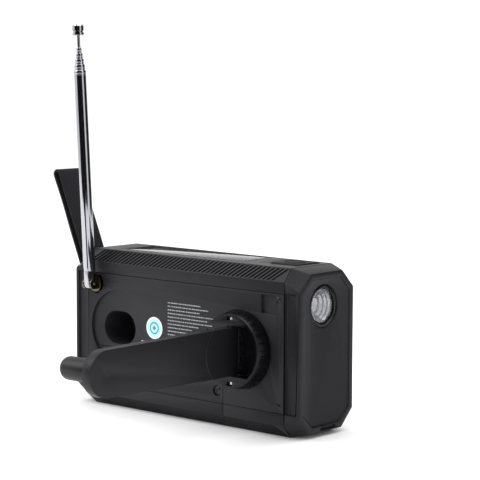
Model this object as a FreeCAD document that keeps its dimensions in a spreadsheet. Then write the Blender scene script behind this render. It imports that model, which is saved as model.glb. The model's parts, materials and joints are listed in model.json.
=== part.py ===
"""Hand-cranked emergency radio with a torch, a solar panel, a folding crank and a telescopic aerial.

Frame: X along the case with the torch at the -X end, Y through it with the crank on the +Y back, Z up.
The origin is the middle of the underside. Every size is in millimetres.
"""
import FreeCAD, Part
import math
import os

import Sketcher

os.makedirs("parts", exist_ok=True)
doc = FreeCAD.newDocument("emergency_radio")

# ---------------------------------------------------------------- driving sizes
SIZES = {
    # case
    "case_length": 150.0,
    "case_depth": 40.0,
    "case_height": 80.0,
    "cap_length": 9.4,
    "chamfer_depth": 5.0,
    "chamfer_height": 6.3,
    "rim_inset": 2.4,
    "rim_chamfer": 8.4,
    "wall": 2.2,
    "seam": 0.2,
    "face_border": 3.0,
    "face_sink": 0.8,
    "waist_width": 6.4,
    "waist_sink": 1.2,
    "cap_cavity": 7.0,
    # back panel and battery door
    "panel_thickness": 2.4,
    "panel_margin": 11.7,
    "rail_width": 5.6,
    "door_low_end": 47.6,
    "door_high_end": 18.0,
    "door_top": 30.8,
    "door_lip": 1.6,
    "screw_radius": 1.4,
    "screw_head": 2.3,
    "screw_head_height": 1.3,
    "screw_length": 7.0,
    "screw_side_margin": 1.2,
    "screw_edge_margin": 0.8,
    "screw_dome": 0.5,
    # crank
    "hub_from_end": 36.4,
    "hub_drop": 0.4,
    "hub_base_radius": 19.2,
    "hub_face_radius": 17.6,
    "hub_height": 8.0,
    "hub_gap": 0.3,
    "hub_floor": 2.2,
    "hub_rim": 1.4,
    "arm_thickness": 5.0,
    "arm_root_width": 23.2,
    "arm_tip_width": 21.4,
    "arm_gap": 0.4,
    "hinge_radius": 1.5,
    "hinge_length": 32.0,
    "running_gap": 0.05,
    "knob_from_end": 29.1,
    "knob_radius": 5.4,
    "knob_length": 22.0,
    "knob_round": 4.0,
    "knob_pin_radius": 1.6,
    "knob_pin_depth": 16.0,
    "well_length": 22.0,
    "well_height": 16.8,
    "well_rise": 1.6,
    "well_shift": 1.7,
    "well_depth": 21.0,
    "well_wall": 1.2,
    "recess_radius": 19.0,
    "recess_depth": 1.5,
    # crank gearing, front to back behind the panel
    "shaft_radius": 3.0,
    "shaft_end": 1.0,
    "bearing_radius": 6.0,
    "bearing_length": 2.0,
    "plate_from_back": 13.0,
    "plate_thickness": 2.0,
    "plate_length": 58.0,
    "plate_height": 36.0,
    "plate_edge": 3.0,
    "plate_overhang": 12.0,
    "post_radius": 2.0,
    "coarse_module": 0.8,
    "fine_module": 0.6,
    "gear_backlash": 0.15,
    "drive_teeth": 36,
    "idler_small_teeth": 12,
    "idler_large_teeth": 40,
    "pinion_teeth": 10,
    "gear_thickness": 3.0,
    "fine_gear_thickness": 2.4,
    "gear_stand_off": 1.0,
    "idler_pin_radius": 1.5,
    "idler_angle": 60.0,
    "pinion_angle": -12.0,
    "rotor_shaft_radius": 1.0,
    "rotor_bearing_radius": 3.0,
    "generator_radius": 11.0,
    "generator_length": 13.0,
    # aerial
    "aerial_from_end": 15.0,
    "aerial_drop": 17.3,
    "aerial_stand_off": 4.2,
    "aerial_lean": 3.5,
    "aerial_radius": 3.0,
    "aerial_step": 0.44,
    "aerial_tube_top": 107.8,
    "aerial_stage_rise": 2.85,
    "aerial_rod_radius": 0.78,
    "aerial_rod_top": 125.3,
    "aerial_tip_radius": 2.95,
    "aerial_tip_length": 5.8,
    "aerial_foot": 9.0,
    "eye_radius": 2.7,
    "tongue_thickness": 3.2,
    "cheek_thickness": 1.3,
    "cheek_gap": 0.3,
    "aerial_pin_radius": 0.8,
    "aerial_pin_head_radius": 1.28,
    "aerial_pin_head_height": 0.5,
    "aerial_pin_end": 0.4,
    "aerial_crown": 0.6,
    "aerial_foot_overlap": 2.5,
    "aerial_neck_gap": 1.0,
    "aerial_rod_foot": 1.0,
    "swivel_radius": 3.0,
    "swivel_flange": 4.3,
    "swivel_flange_height": 0.8,
    "swivel_gap": 0.3,
    "socket_radius": 5.2,
    "socket_length": 5.0,
    # aerial rest on the back
    "rest_from_end": 19.0,
    "rest_length": 9.0,
    "rest_height": 8.8,
    "rest_sink": 1.4,
    # strap
    "strap_width": 16.0,
    "strap_thickness": 1.4,
    "strap_loop_gap": 2.6,
    "strap_length": 50.0,
    "strap_lean": 23.3,
    "strap_offset": 9.0,
    "strap_bar_radius": 1.0,
    "strap_bar_from_end": 2.4,
    "strap_bar_drop": 9.4,
    "strap_slot_depth": 6.4,
    "strap_slot_floor": 14.0,
    "strap_slot_gap": 1.0,
    "strap_bar_overhang": 2.5,
    # torch
    "torch_offset": 1.5,
    "torch_drop": 18.2,
    "torch_radius": 9.3,
    "torch_hole_radius": 10.2,
    "torch_ring": 1.1,
    "torch_ring_length": 2.2,
    "torch_sink": 0.5,
    "lens_thickness": 1.6,
    "reflector_depth": 9.0,
    "reflector_wall": 0.8,
    "reflector_throat": 2.6,
    "torch_board_thickness": 1.6,
    "led_radius": 1.7,
    # top
    "solar_from_end": 22.7,
    "solar_length": 82.4,
    "solar_width": 25.0,
    "solar_offset": 2.5,
    "solar_border": 2.0,
    "solar_depth": 1.6,
    "solar_cell_thickness": 0.6,
    "solar_cover_thickness": 0.8,
    "lamp_from_end": 21.6,
    "lamp_button_size": 16.8,
    "lamp_button_offset": 2.2,
    "button_rise": 0.6,
    "button_travel": 1.0,
    "button_gap": 0.35,
    "button_skirt": 1.2,
    "button_skirt_width": 1.5,
    # front
    "speaker_from_end": 41.0,
    "speaker_radius": 22.0,
    "speaker_rim": 2.4,
    "speaker_lip": 1.0,
    "speaker_depth": 5.0,
    "cone_thickness": 0.7,
    "magnet_radius": 11.0,
    "magnet_length": 6.0,
    "grille_thickness": 1.2,
    "grille_bar": 1.4,
    "grille_slot": 2.2,
    "dial_from_end": 43.0,
    "dial_length": 54.0,
    "dial_height": 15.0,
    "dial_drop": 23.0,
    "dial_window_thickness": 1.2,
    "dial_scale_thickness": 0.8,
    "pointer_gap": 1.8,
    "pointer_width": 0.9,
    "tuning_from_end": 29.0,
    "tuning_radius": 11.0,
    "tuning_height": 27.0,
    "volume_from_end": 58.0,
    "volume_radius": 8.0,
    "front_knob_length": 9.0,
    "front_knob_gap": 0.4,
    "front_shaft_radius": 3.0,
    "pot_size": 15.0,
    "sos_from_end": 73.0,
    "sos_radius": 4.0,
    "sos_height": 27.0,
    "band_height": 42.5,
    "band_knob_length": 7.0,
    "band_knob_height": 4.0,
    "band_travel": 3.0,
    "band_flange": 1.0,
    # electronics
    "board_from_front": 10.5,
    "board_thickness": 1.6,
    "board_length": 62.0,
    "board_height": 56.0,
    "board_edge": 4.0,
    "board_post_height": 44.5,
    "cell_radius": 9.2,
    "cell_length": 65.0,
    "cell_height": 16.6,
    "cell_from_back": 15.0,
    "cradle_wall": 1.4,
    "cradle_gap": 0.4,
    "contact_length": 3.0,
    # ports
    "port_width": 20.0,
    "port_height": 13.0,
    "port_bottom": 16.0,
    "port_depth": 8.0,
    "port_plate_inset": 1.0,
    "usb_width": 12.0,
    "usb_height": 4.6,
    "usb_shell": 0.4,
    "usb_floor": 1.0,
    "flap_thickness": 1.4,
    "flap_border": 1.6,
    "flap_hinge_radius": 0.65,
}

dims = doc.addObject("Spreadsheet::Sheet", "dims")
for row, (alias, value) in enumerate(SIZES.items(), start=1):
    dims.set(f"A{row}", alias.replace("_", " "))
    dims.set(f"B{row}", str(value))
    dims.setAlias(f"B{row}", alias)
doc.recompute()

# ---------------------------------------------------------------- places worked out from the sizes
PAST = 1.0  # how far a cutting tool runs past the wall it opens
END = "dims.case_length / 2"
BACK = "dims.case_depth / 2"
TOP = "dims.case_height"
CAP = f"({END} - dims.cap_length)"
INNER_BACK = f"({BACK} - dims.panel_thickness)"
RAIL_FACE = f"({BACK} - dims.chamfer_depth)"
PANEL_LOW = "dims.panel_margin"
PANEL_HIGH = f"({TOP} - dims.panel_margin)"
HUB_X = f"(dims.hub_from_end - {END})"
HUB_Z = f"({TOP} / 2 - dims.hub_drop)"
HINGE_Y = f"({BACK} + dims.hub_height - dims.arm_thickness / 2)"
REACH = "(dims.case_length - dims.hub_from_end - dims.knob_from_end)"
KNOB_Y = f"({HINGE_Y} + {REACH})"
WELL_X = f"({END} - dims.knob_from_end - dims.well_shift)"
WELL_Z = f"({HUB_Z} + dims.well_rise)"
DOOR_LOW = f"(dims.door_low_end - {END})"
DOOR_HIGH = f"({END} - dims.door_high_end)"
DOOR_SCREW_X = f"({DOOR_LOW} + dims.screw_head + dims.door_lip)"
DOOR_SCREW_Z = "(dims.door_top / 2 + dims.screw_head)"
PLATE_BACK = f"({BACK} - dims.plate_from_back)"
AERIAL_X = f"({END} - dims.aerial_from_end)"
AERIAL_Y = f"({BACK} + dims.aerial_stand_off)"
AERIAL_Z = f"({TOP} - dims.aerial_drop)"
TORCH_Z = f"({TOP} - dims.torch_drop)"
BOARD_Y = f"(dims.board_from_front - {BACK})"
PORT_MOUTH = f"({END} - dims.face_sink - dims.flap_thickness - 2 * dims.seam)"
BOARD_END = f"({PORT_MOUTH} - dims.port_depth - dims.board_thickness)"
SPEAKER_X = f"(dims.speaker_from_end - {END})"
SPEAKER_Z = f"({TOP} / 2)"
TUNING_X = f"({END} - dims.tuning_from_end)"
VOLUME_X = f"({END} - dims.volume_from_end)"
SOS_X = f"({END} - dims.sos_from_end)"
DIAL_X = f"({END} - dims.dial_from_end)"
DIAL_Z = f"({TOP} - dims.dial_drop)"
SOLAR_X = f"({END} - dims.solar_from_end - dims.solar_length / 2)"
LAMP_X = f"(dims.lamp_from_end - {END})"

TURNS = {
    "x": FreeCAD.Rotation(FreeCAD.Vector(0, 1, 0), 90),
    "y": FreeCAD.Rotation(FreeCAD.Vector(1, 0, 0), -90),
    "z": FreeCAD.Rotation(),
}
pieces = []


def number(expression):
    """The present value of an expression on the sheet."""
    return float(dims.evalExpression(str(expression)))


def place(obj, x="0", y="0", z="0"):
    """Binds an object's place to the sheet."""
    for axis, expression in zip("xyz", (x, y, z)):
        obj.setExpression(f"Placement.Base.{axis}", str(expression))
    return obj


def block(name, x, y, z):
    """A box between the low and high ends of three (low, high) pairs."""
    box = doc.addObject("Part::Box", name)
    for side, (low, high) in zip(("Length", "Width", "Height"), (x, y, z)):
        box.setExpression(side, f"({high}) - ({low})")
    return place(box, x[0], y[0], z[0])


def middle(centre, size):
    """The (low, high) pair of a size centred on a place."""
    return f"{centre} - ({size}) / 2", f"{centre} + ({size}) / 2"


def rod(name, axis, across, along, radius, end_radius=None):
    """A cylinder or cone along an axis: across is its centre on the other two axes, in X, Y, Z order."""
    solid = doc.addObject("Part::Cone" if end_radius else "Part::Cylinder", name)
    if end_radius:
        solid.setExpression("Radius1", str(radius))
        solid.setExpression("Radius2", str(end_radius))
    else:
        solid.setExpression("Radius", str(radius))
    low, high = along
    solid.setExpression("Height", f"({high}) - ({low})")
    solid.Placement = FreeCAD.Placement(FreeCAD.Vector(), TURNS[axis])
    centre = list(across)
    centre.insert("xyz".index(axis), low)
    return place(solid, *centre)


def fuse(name, *solids):
    union = doc.addObject("Part::MultiFuse", name)
    union.Shapes = list(solids)
    return union


def cut(name, base, *tools):
    """base less every tool."""
    result = doc.addObject("Part::Cut", name)
    result.Base = base
    result.Tool = tools[0] if len(tools) == 1 else fuse(f"{name}_tools", *tools)
    return result


def common(name, *solids):
    shared = doc.addObject("Part::MultiCommon", name)
    shared.Shapes = list(solids)
    return shared


def outline(body, name, plane, corners, offset):
    """A closed sketch of straight lines on one of the body's planes, each corner bound to the sheet."""
    sketch = body.newObject("Sketcher::SketchObject", name)
    origin_plane = [f for f in body.Origin.OriginFeatures if f.Role == plane][0]
    sketch.AttachmentSupport = [(origin_plane, "")]
    sketch.MapMode = "FlatFace"
    sketch.setExpression("AttachmentOffset.Base.z", str(offset))
    points = [FreeCAD.Vector(number(u), number(v), 0) for u, v in corners]
    count = len(points)
    for i in range(count):
        sketch.addGeometry(Part.LineSegment(points[i], points[(i + 1) % count]), False)
    for i in range(count):
        sketch.addConstraint(Sketcher.Constraint("Coincident", i, 2, (i + 1) % count, 1))
    for i, (u, v) in enumerate(corners):
        for kind, value, expression in (("DistanceX", points[i].x, u), ("DistanceY", points[i].y, v)):
            index = sketch.addConstraint(Sketcher.Constraint(kind, -1, 1, i, 1, value))
            sketch.setExpression(f"Constraints[{index}]", str(expression))
    return sketch


def prism(name, plane, corners, low, high):
    """A body padded from an outline: along +X from YZ, and along -Y from XZ, as its low and high count."""
    body = doc.addObject("PartDesign::Body", name)
    pad = body.newObject("PartDesign::Pad", f"{name}_pad")
    pad.Profile = outline(body, f"{name}_outline", plane, corners, low)
    pad.setExpression("Length", f"({high}) - ({low})")
    return body


def octagon(inset_y, inset_low, inset_high, chamfer_y, chamfer_z):
    """The case's eight-cornered section in Y and Z, drawn in by the insets."""
    half = f"({BACK} - ({inset_y}))"
    low, high = f"({inset_low})", f"({TOP} - ({inset_high}))"
    near, far = f"({half} - ({chamfer_y}))", f"({chamfer_z})"
    return [
        (f"-{near}", low), (near, low), (half, f"{low} + {far}"), (half, f"{high} - {far}"),
        (near, high), (f"-{near}", high), (f"-{half}", f"{high} - {far}"), (f"-{half}", f"{low} + {far}"),
    ]


def piece(obj, label):
    """Names a finished sub-part and adds it to those that are written out."""
    obj.Label = label
    pieces.append(obj)
    return obj


# ---------------------------------------------------------------- case
def front_case():
    """The front, top and underside in one bent wall, open at the back and at both ends."""
    wall = "dims.wall"
    turn = f"({wall} * 0.45)"
    near, half = f"({BACK} - dims.chamfer_depth)", f"({BACK})"
    corners = [
        (RAIL_FACE, "0"), (f"-{near}", "0"), (f"-{half}", "dims.chamfer_height"),
        (f"-{half}", f"{TOP} - dims.chamfer_height"), (f"-{near}", TOP), (RAIL_FACE, TOP),
        (RAIL_FACE, f"{TOP} - {wall}"), (f"-{near} + {turn}", f"{TOP} - {wall}"),
        (f"-{half} + {wall}", f"{TOP} - dims.chamfer_height - {turn}"),
        (f"-{half} + {wall}", f"dims.chamfer_height + {turn}"),
        (f"-{near} + {turn}", wall), (RAIL_FACE, wall),
    ]
    shell = prism("front_case_shell", "YZ_Plane", corners, f"-{CAP}", CAP)
    front = (f"-{BACK} - {PAST}", f"-{BACK} + {wall} + {PAST}")
    roof = (f"{TOP} - {wall} - {PAST}", f"{TOP} + {PAST}")
    shaft_hole = "dims.front_shaft_radius + dims.front_knob_gap"
    holes = [
        rod("speaker_hole", "y", (SPEAKER_X, SPEAKER_Z), front, "dims.speaker_radius"),
        block("dial_hole", middle(DIAL_X, "dims.dial_length"), front, middle(DIAL_Z, "dims.dial_height")),
        rod("tuning_hole", "y", (TUNING_X, "dims.tuning_height"), front, shaft_hole),
        rod("volume_hole", "y", (VOLUME_X, "dims.tuning_height"), front, shaft_hole),
        rod("sos_hole", "y", (SOS_X, "dims.sos_height"), front, "dims.sos_radius + dims.button_gap"),
        block("band_hole", middle(TUNING_X,
                                  "dims.band_knob_length + 2 * dims.band_travel + 2 * dims.button_gap"),
              front, middle("dims.band_height", "dims.band_knob_height + 2 * dims.button_gap")),
        block("solar_pocket", middle(SOLAR_X, "dims.solar_length"),
              middle("-dims.solar_offset", "dims.solar_width"),
              (f"{TOP} - dims.solar_depth", f"{TOP} + {PAST}")),
        block("lamp_hole", middle(LAMP_X, "dims.lamp_button_size + 2 * dims.button_gap"),
              middle("-dims.lamp_button_offset", "dims.lamp_button_size + 2 * dims.button_gap"), roof),
    ]
    piece(cut("front_case", shell, *holes), "front_case")


def door_section(gap):
    """The battery door's bent section in Y and Z, grown by a gap all round."""
    lip, thick = "dims.door_lip", "dims.panel_thickness"
    slope = "(dims.chamfer_height / dims.chamfer_depth)"
    foot_y = f"({BACK} - (dims.chamfer_height - {lip}) / {slope})"
    out, back = f"({gap}) * 3", f"{BACK}"
    return [
        (f"{back} + {out}", f"dims.door_top + {gap}"), (f"{back} + {out}", f"dims.chamfer_height - {gap}"),
        (f"{foot_y} + {out}", f"{lip} - {gap} - {out}"),
        (f"{foot_y} - {thick} - {gap}", f"{lip} + {thick} - {gap}"),
        (f"{back} - {thick} - {gap}", f"dims.chamfer_height + {thick}"),
        (f"{back} - {thick} - {gap}", f"dims.door_top + {gap}"),
    ]


def arm_recess(name):
    """The shallow round hollow that the crank arm's end folds into."""
    return rod(name, "y", (WELL_X, WELL_Z), (f"{BACK} - dims.recess_depth", f"{BACK} + {PAST}"),
               "dims.recess_radius")


def rear_frame():
    """The ribbed chamfered rails above and below the back panel, with the ledge that the panel sits on."""
    slab = prism("rear_frame_slab", "YZ_Plane",
                 [(RAIL_FACE, "0"), (BACK, "dims.chamfer_height"), (BACK, f"{TOP} - dims.chamfer_height"),
                  (RAIL_FACE, TOP)],
                 f"-{CAP}", CAP)
    window = block("rear_frame_window", middle("0", f"2 * {CAP} - 2 * dims.rail_width"),
                   (f"{RAIL_FACE} - {PAST}", f"{BACK} + {PAST}"),
                   (f"{PANEL_LOW} + dims.rail_width", f"{PANEL_HIGH} - dims.rail_width"))
    rebate = block("rear_frame_rebate", middle("0", f"2 * {CAP} + 2 * {PAST}"),
                   (INNER_BACK, f"{BACK} + {PAST}"),
                   (PANEL_LOW, PANEL_HIGH))
    door = prism("rear_frame_door_space", "YZ_Plane", door_section("dims.seam"),
                 f"{DOOR_LOW} - dims.seam", f"{DOOR_HIGH} + dims.seam")
    socket = rod("rear_frame_socket_hole", "y", (AERIAL_X, AERIAL_Z),
                 (f"{RAIL_FACE} - {PAST}", f"{BACK} + {PAST}"),
                 "dims.socket_radius")
    screw = rod("rear_frame_screw_hole", "y", (DOOR_SCREW_X, DOOR_SCREW_Z),
                (f"{RAIL_FACE} - {PAST}", f"{BACK} + {PAST}"),
                "dims.screw_radius")
    piece(cut("rear_frame", slab, window, rebate, door, socket, screw), "rear_frame")


def knob_well(name, grow, low, high):
    """A slot with round ends, along X, as deep as from low to high in Y."""
    radius = f"dims.well_height / 2 + {grow}"
    reach = "(dims.well_length - dims.well_height) / 2"
    return fuse(
        name,
        block(f"{name}_middle", middle(WELL_X, f"2 * {reach}"), (low, high),
              middle(WELL_Z, f"2 * ({radius})")),
        rod(f"{name}_end_1", "y", (f"{WELL_X} - {reach}", WELL_Z), (low, high), radius),
        rod(f"{name}_end_2", "y", (f"{WELL_X} + {reach}", WELL_Z), (low, high), radius),
    )


def panel_screws():
    """Three small domed screws in the panel's corners that the aerial leaves free."""
    low, high = (f"{PANEL_LOW} + dims.screw_head + dims.screw_edge_margin",
                 f"{PANEL_HIGH} - dims.screw_head - dims.screw_edge_margin")
    near, far = (f"-{CAP} + dims.screw_head + dims.screw_side_margin",
                 f"{CAP} - dims.screw_head - dims.screw_side_margin")
    screws = []
    holes = []
    for i, (x, z) in enumerate(((near, high), (near, low), (far, low))):
        screws.append(rod(f"panel_screw_{i}", "y", (x, z),
                          (f"{BACK} - dims.panel_thickness", f"{BACK} + dims.screw_dome"),
                          "dims.screw_radius"))
        holes.append(rod(f"panel_screw_hole_{i}", "y", (x, z),
                         (f"{INNER_BACK} - {PAST}", f"{BACK} + {PAST}"),
                         "dims.screw_radius"))
    piece(fuse("panel_screws", *screws), "panel_screws")
    return holes


def rear_panel():
    """The flat back panel: the knob's well, the arm's recess, the crank bearing and the aerial's rest."""
    floor = f"{BACK} - dims.well_depth"
    plate = block("rear_panel_plate", middle("0", f"2 * {CAP} - 2 * dims.seam"), (INNER_BACK, BACK),
                  (f"{PANEL_LOW} + dims.seam", f"{PANEL_HIGH} - dims.seam"))
    cup = knob_well("rear_panel_cup", "dims.well_wall", f"{floor} - dims.well_wall",
                    f"{BACK} - dims.recess_depth")
    bearing = rod("rear_panel_bearing", "y", (HUB_X, HUB_Z),
                  (f"{INNER_BACK} - dims.bearing_length", INNER_BACK),
                  "dims.bearing_radius")
    backing = rod("rear_panel_backing", "y", (WELL_X, WELL_Z),
                  (f"{BACK} - dims.recess_depth - dims.well_wall", f"{BACK} - dims.recess_depth / 2"),
                  "dims.recess_radius")
    below_door = block("rear_panel_backing_limit",
                       middle("0", f"2 * ({CAP} - dims.rail_width - dims.seam)"),
                       (f"{BACK} - dims.case_depth", f"{BACK} + {PAST}"),
                       ("dims.door_top + dims.seam", f"{PANEL_HIGH} - dims.seam"))
    backing = common("rear_panel_backing_kept", backing, below_door)
    door = block("rear_panel_door_space", (f"{DOOR_LOW} - dims.seam", f"{DOOR_HIGH} + dims.seam"),
                 (f"{INNER_BACK} - {PAST}", f"{BACK} + {PAST}"), ("0", "dims.door_top + dims.seam"))
    rest = block("rear_panel_rest", (f"dims.rest_from_end - dims.rest_length / 2 - {END}",
                                     f"dims.rest_from_end + dims.rest_length / 2 - {END}"),
                 (f"{BACK} - dims.rest_sink", f"{BACK} + {PAST}"), middle(AERIAL_Z, "dims.rest_height"))
    bore = rod("rear_panel_bore", "y", (HUB_X, HUB_Z),
               (f"{INNER_BACK} - dims.bearing_length - {PAST}", f"{BACK} + {PAST}"),
               "dims.shaft_radius + dims.running_gap")
    socket = rod("rear_panel_socket_hole", "y", (AERIAL_X, AERIAL_Z),
                 (f"{INNER_BACK} - {PAST}", f"{BACK} + {PAST}"),
                 "dims.socket_radius")
    solid = fuse("rear_panel_solid", plate, cup, bearing, backing)
    piece(cut("rear_panel", solid, knob_well("rear_panel_well", "0", floor, f"{BACK} + {PAST}"),
              arm_recess("rear_panel_recess"), door, rest, bore, socket, *panel_screws()), "rear_panel")


def battery_door():
    """The door, bent over the lower chamfer, held by one screw beside the crank."""
    leaf = prism("battery_door_leaf", "YZ_Plane", door_section("0"), DOOR_LOW, DOOR_HIGH)
    screw_x, screw_z = DOOR_SCREW_X, DOOR_SCREW_Z
    head = rod("battery_door_screw_seat", "y", (screw_x, screw_z),
               (f"{BACK} - dims.screw_head_height", f"{BACK} + {PAST}"), "dims.screw_head + dims.seam")
    shank = rod("battery_door_screw_hole", "y", (screw_x, screw_z),
                (f"{INNER_BACK} - {PAST}", f"{BACK} + {PAST}"),
                "dims.screw_radius + dims.seam / 2")
    piece(cut("battery_door", leaf, arm_recess("battery_door_recess"), head, shank), "battery_door")
    piece(fuse("door_screw",
               rod("door_screw_head", "y", (screw_x, screw_z), (f"{BACK} - dims.screw_head_height", BACK),
                   "dims.screw_head"),
               rod("door_screw_shank", "y", (screw_x, screw_z),
                   (f"{BACK} - dims.screw_length", f"{BACK} - dims.screw_head_height"),
                   "dims.screw_radius")),
          "door_screw")


def end_cap(side, name, *extra_cuts):
    """A bumper cap: the case's section drawn down to a smaller rim, with a sunk face and two waists."""
    sign = "" if side > 0 else "-"
    body = doc.addObject("PartDesign::Body", f"{name}_body")
    case_section = octagon("0", "0", "0", "dims.chamfer_depth", "dims.chamfer_height")
    rim_section = octagon("0", "dims.rim_inset", "dims.rim_inset", "dims.rim_chamfer", "dims.rim_chamfer")
    inner = outline(body, f"{name}_inner", "YZ_Plane", case_section, f"{sign}{CAP}")
    rim = outline(body, f"{name}_rim", "YZ_Plane", rim_section, f"{sign}({END})")
    loft = body.newObject("PartDesign::AdditiveLoft", f"{name}_loft")
    loft.Profile = inner
    loft.Sections = [rim]
    loft.Ruled = True

    def along(low, high):
        return (low, high) if side > 0 else (f"-({high})", f"-({low})")

    border = "dims.rim_inset + dims.face_border"
    face = prism(f"{name}_face", "YZ_Plane",
                 octagon("dims.face_border", border, border, "dims.rim_chamfer * 0.8",
                         "dims.rim_chamfer * 0.8"),
                 *along(f"{END} - dims.face_sink", f"{END} + {PAST}"))
    cavity = prism(f"{name}_cavity", "YZ_Plane",
                   octagon("dims.wall + dims.waist_sink", "dims.wall + dims.rim_inset",
                           "dims.wall + dims.rim_inset",
                           "dims.rim_chamfer", "dims.rim_chamfer"),
                   *along(f"{CAP} - {PAST}", f"{CAP} + dims.cap_cavity"))
    waist_x = along(f"{CAP} + dims.seam * 4", f"{CAP} + dims.seam * 4 + dims.waist_width")
    waists = [block(f"{name}_waist_{i}", waist_x, y, (PANEL_LOW, PANEL_HIGH)) for i, y in enumerate(
        ((f"{BACK} - dims.waist_sink", f"{BACK} + {PAST}"),
         (f"-{BACK} - {PAST}", f"-{BACK} + dims.waist_sink")))]
    piece(cut(name, body, face, cavity, *waists, *extra_cuts), name)


def torch_cap():
    hole = rod("torch_hole", "x", ("dims.torch_offset", TORCH_Z),
               (f"-{END} - {PAST}", f"-{CAP} + {PAST}"), "dims.torch_hole_radius")
    end_cap(-1, "torch_cap", hole)


def aerial_cap():
    """The +X cap, with a slot for the strap in its upper edge and the ports in its face."""
    slot = block("strap_slot", (f"{END} - dims.strap_slot_depth", f"{END} + {PAST}"),
                 middle("dims.strap_offset", "dims.strap_width + 2 * dims.strap_slot_gap"),
                 (f"{TOP} - dims.strap_slot_floor", f"{TOP} + {PAST}"))
    port = block("port_hole", (f"{CAP} - {PAST}", f"{END} + {PAST}"), middle("0", "dims.port_width"),
                 ("dims.port_bottom", "dims.port_bottom + dims.port_height"))
    flap = block("flap_seat", (f"{END} - dims.face_sink - dims.flap_thickness", f"{END} + {PAST}"),
                 middle("0", "dims.port_width + 2 * dims.flap_border + 2 * dims.seam"),
                 ("dims.port_bottom - dims.flap_border - 3 * dims.flap_hinge_radius",
                  "dims.port_bottom + dims.port_height + dims.flap_border + dims.seam"))
    bar_hole = rod("strap_bar_hole", "y",
                   (f"{END} - dims.strap_bar_from_end", f"{TOP} - dims.strap_bar_drop"),
                   middle("dims.strap_offset", "dims.strap_width + 2 * dims.strap_bar_overhang"),
                   "dims.strap_bar_radius")
    end_cap(1, "aerial_cap", slot, port, flap, bar_hole)
    piece(rod("strap_bar", "y", (f"{END} - dims.strap_bar_from_end", f"{TOP} - dims.strap_bar_drop"),
              middle("dims.strap_offset", "dims.strap_width + 2 * dims.strap_bar_overhang"),
              "dims.strap_bar_radius"), "strap_bar")


# ---------------------------------------------------------------- crank
def crank():
    """The hub with its pocket for the arm, the shaft, the folding arm and the knob that spins on its end."""
    base, face = f"{BACK} + dims.hub_gap", f"{BACK} + dims.hub_height"
    disc = rod("crank_hub_disc", "y", (HUB_X, HUB_Z), (base, face), "dims.hub_base_radius",
               "dims.hub_face_radius")
    pocket_y = (f"{base} + dims.hub_floor", f"{face} + {PAST}")
    pocket_z = middle(HUB_Z, "dims.arm_root_width + 2 * dims.arm_gap")
    open_side = block("crank_hub_open_side", (HUB_X, f"{HUB_X} + dims.hub_base_radius + {PAST}"), pocket_y,
                      pocket_z)
    round_side = common(
        "crank_hub_round_side",
        rod("crank_hub_pocket_round", "y", (HUB_X, HUB_Z), pocket_y,
            "dims.hub_face_radius - dims.hub_rim"),
        block("crank_hub_pocket_block", middle(HUB_X, "2 * dims.hub_base_radius"), pocket_y, pocket_z))
    hinge_z = middle(HUB_Z, "dims.hinge_length")
    pin_hole = rod("crank_hub_pin_hole", "z", (HUB_X, HINGE_Y), hinge_z, "dims.hinge_radius")
    piece(cut("crank_hub", disc, open_side, round_side, pin_hole), "crank_hub")
    piece(rod("crank_hinge_pin", "z", (HUB_X, HINGE_Y), hinge_z, "dims.hinge_radius"), "crank_hinge_pin")
    piece(rod("crank_shaft", "y", (HUB_X, HUB_Z),
              (f"{PLATE_BACK} - dims.plate_thickness - dims.shaft_end", base),
              "dims.shaft_radius"), "crank_shaft")

    half = "dims.arm_thickness / 2"
    sides = (f"{HUB_X} - {half}", f"{HUB_X} + {half}")
    blade = prism("crank_arm_blade", "YZ_Plane",
                  [(HINGE_Y, f"{HUB_Z} - dims.arm_root_width / 2"),
                   (KNOB_Y, f"{HUB_Z} - dims.arm_tip_width / 2"),
                   (KNOB_Y, f"{HUB_Z} + dims.arm_tip_width / 2"),
                   (HINGE_Y, f"{HUB_Z} + dims.arm_root_width / 2")],
                  *sides)
    root = rod("crank_arm_root", "z", (HUB_X, HINGE_Y), middle(HUB_Z, "dims.arm_root_width"), half)
    tip = rod("crank_arm_tip", "x", (KNOB_Y, HUB_Z), sides, "dims.arm_tip_width / 2")
    pin_bore = rod("crank_arm_pin_bore", "z", (HUB_X, HINGE_Y),
                   middle(HUB_Z, f"dims.arm_root_width + 2 * {PAST}"),
                   "dims.hinge_radius + dims.running_gap")
    knob_bore = rod("crank_arm_knob_bore", "x", (KNOB_Y, HUB_Z),
                    middle(HUB_X, f"dims.arm_thickness + 2 * {PAST}"),
                    "dims.knob_pin_radius")
    piece(cut("crank_arm", fuse("crank_arm_solid", blade, root, tip), pin_bore, knob_bore), "crank_arm")

    knob_start = f"{HUB_X} + {half} + dims.hub_gap"
    barrel = rod("crank_knob_barrel", "x", (KNOB_Y, HUB_Z),
                 (knob_start, f"{knob_start} + dims.knob_length"),
                 "dims.knob_radius")
    rounded = doc.addObject("Part::Fillet", "crank_knob_rounded")
    rounded.Base = barrel
    doc.recompute()
    far_edge = max(range(len(barrel.Shape.Edges)), key=lambda i: barrel.Shape.Edges[i].BoundBox.XMin)
    round_radius = min(number("dims.knob_round"), number("dims.knob_radius") * 0.9)
    rounded.Edges = [(far_edge + 1, round_radius, round_radius)]
    bore = rod("crank_knob_bore", "x", (KNOB_Y, HUB_Z),
               (f"{knob_start} - {PAST}", f"{knob_start} + dims.knob_pin_depth + dims.hub_gap"),
               "dims.knob_pin_radius + dims.running_gap")
    piece(cut("crank_knob", rounded, bore), "crank_knob")
    piece(rod("knob_pin", "x", (KNOB_Y, HUB_Z),
              (f"{HUB_X} - {half}", f"{knob_start} + dims.knob_pin_depth"),
              "dims.knob_pin_radius"), "knob_pin")


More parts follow.
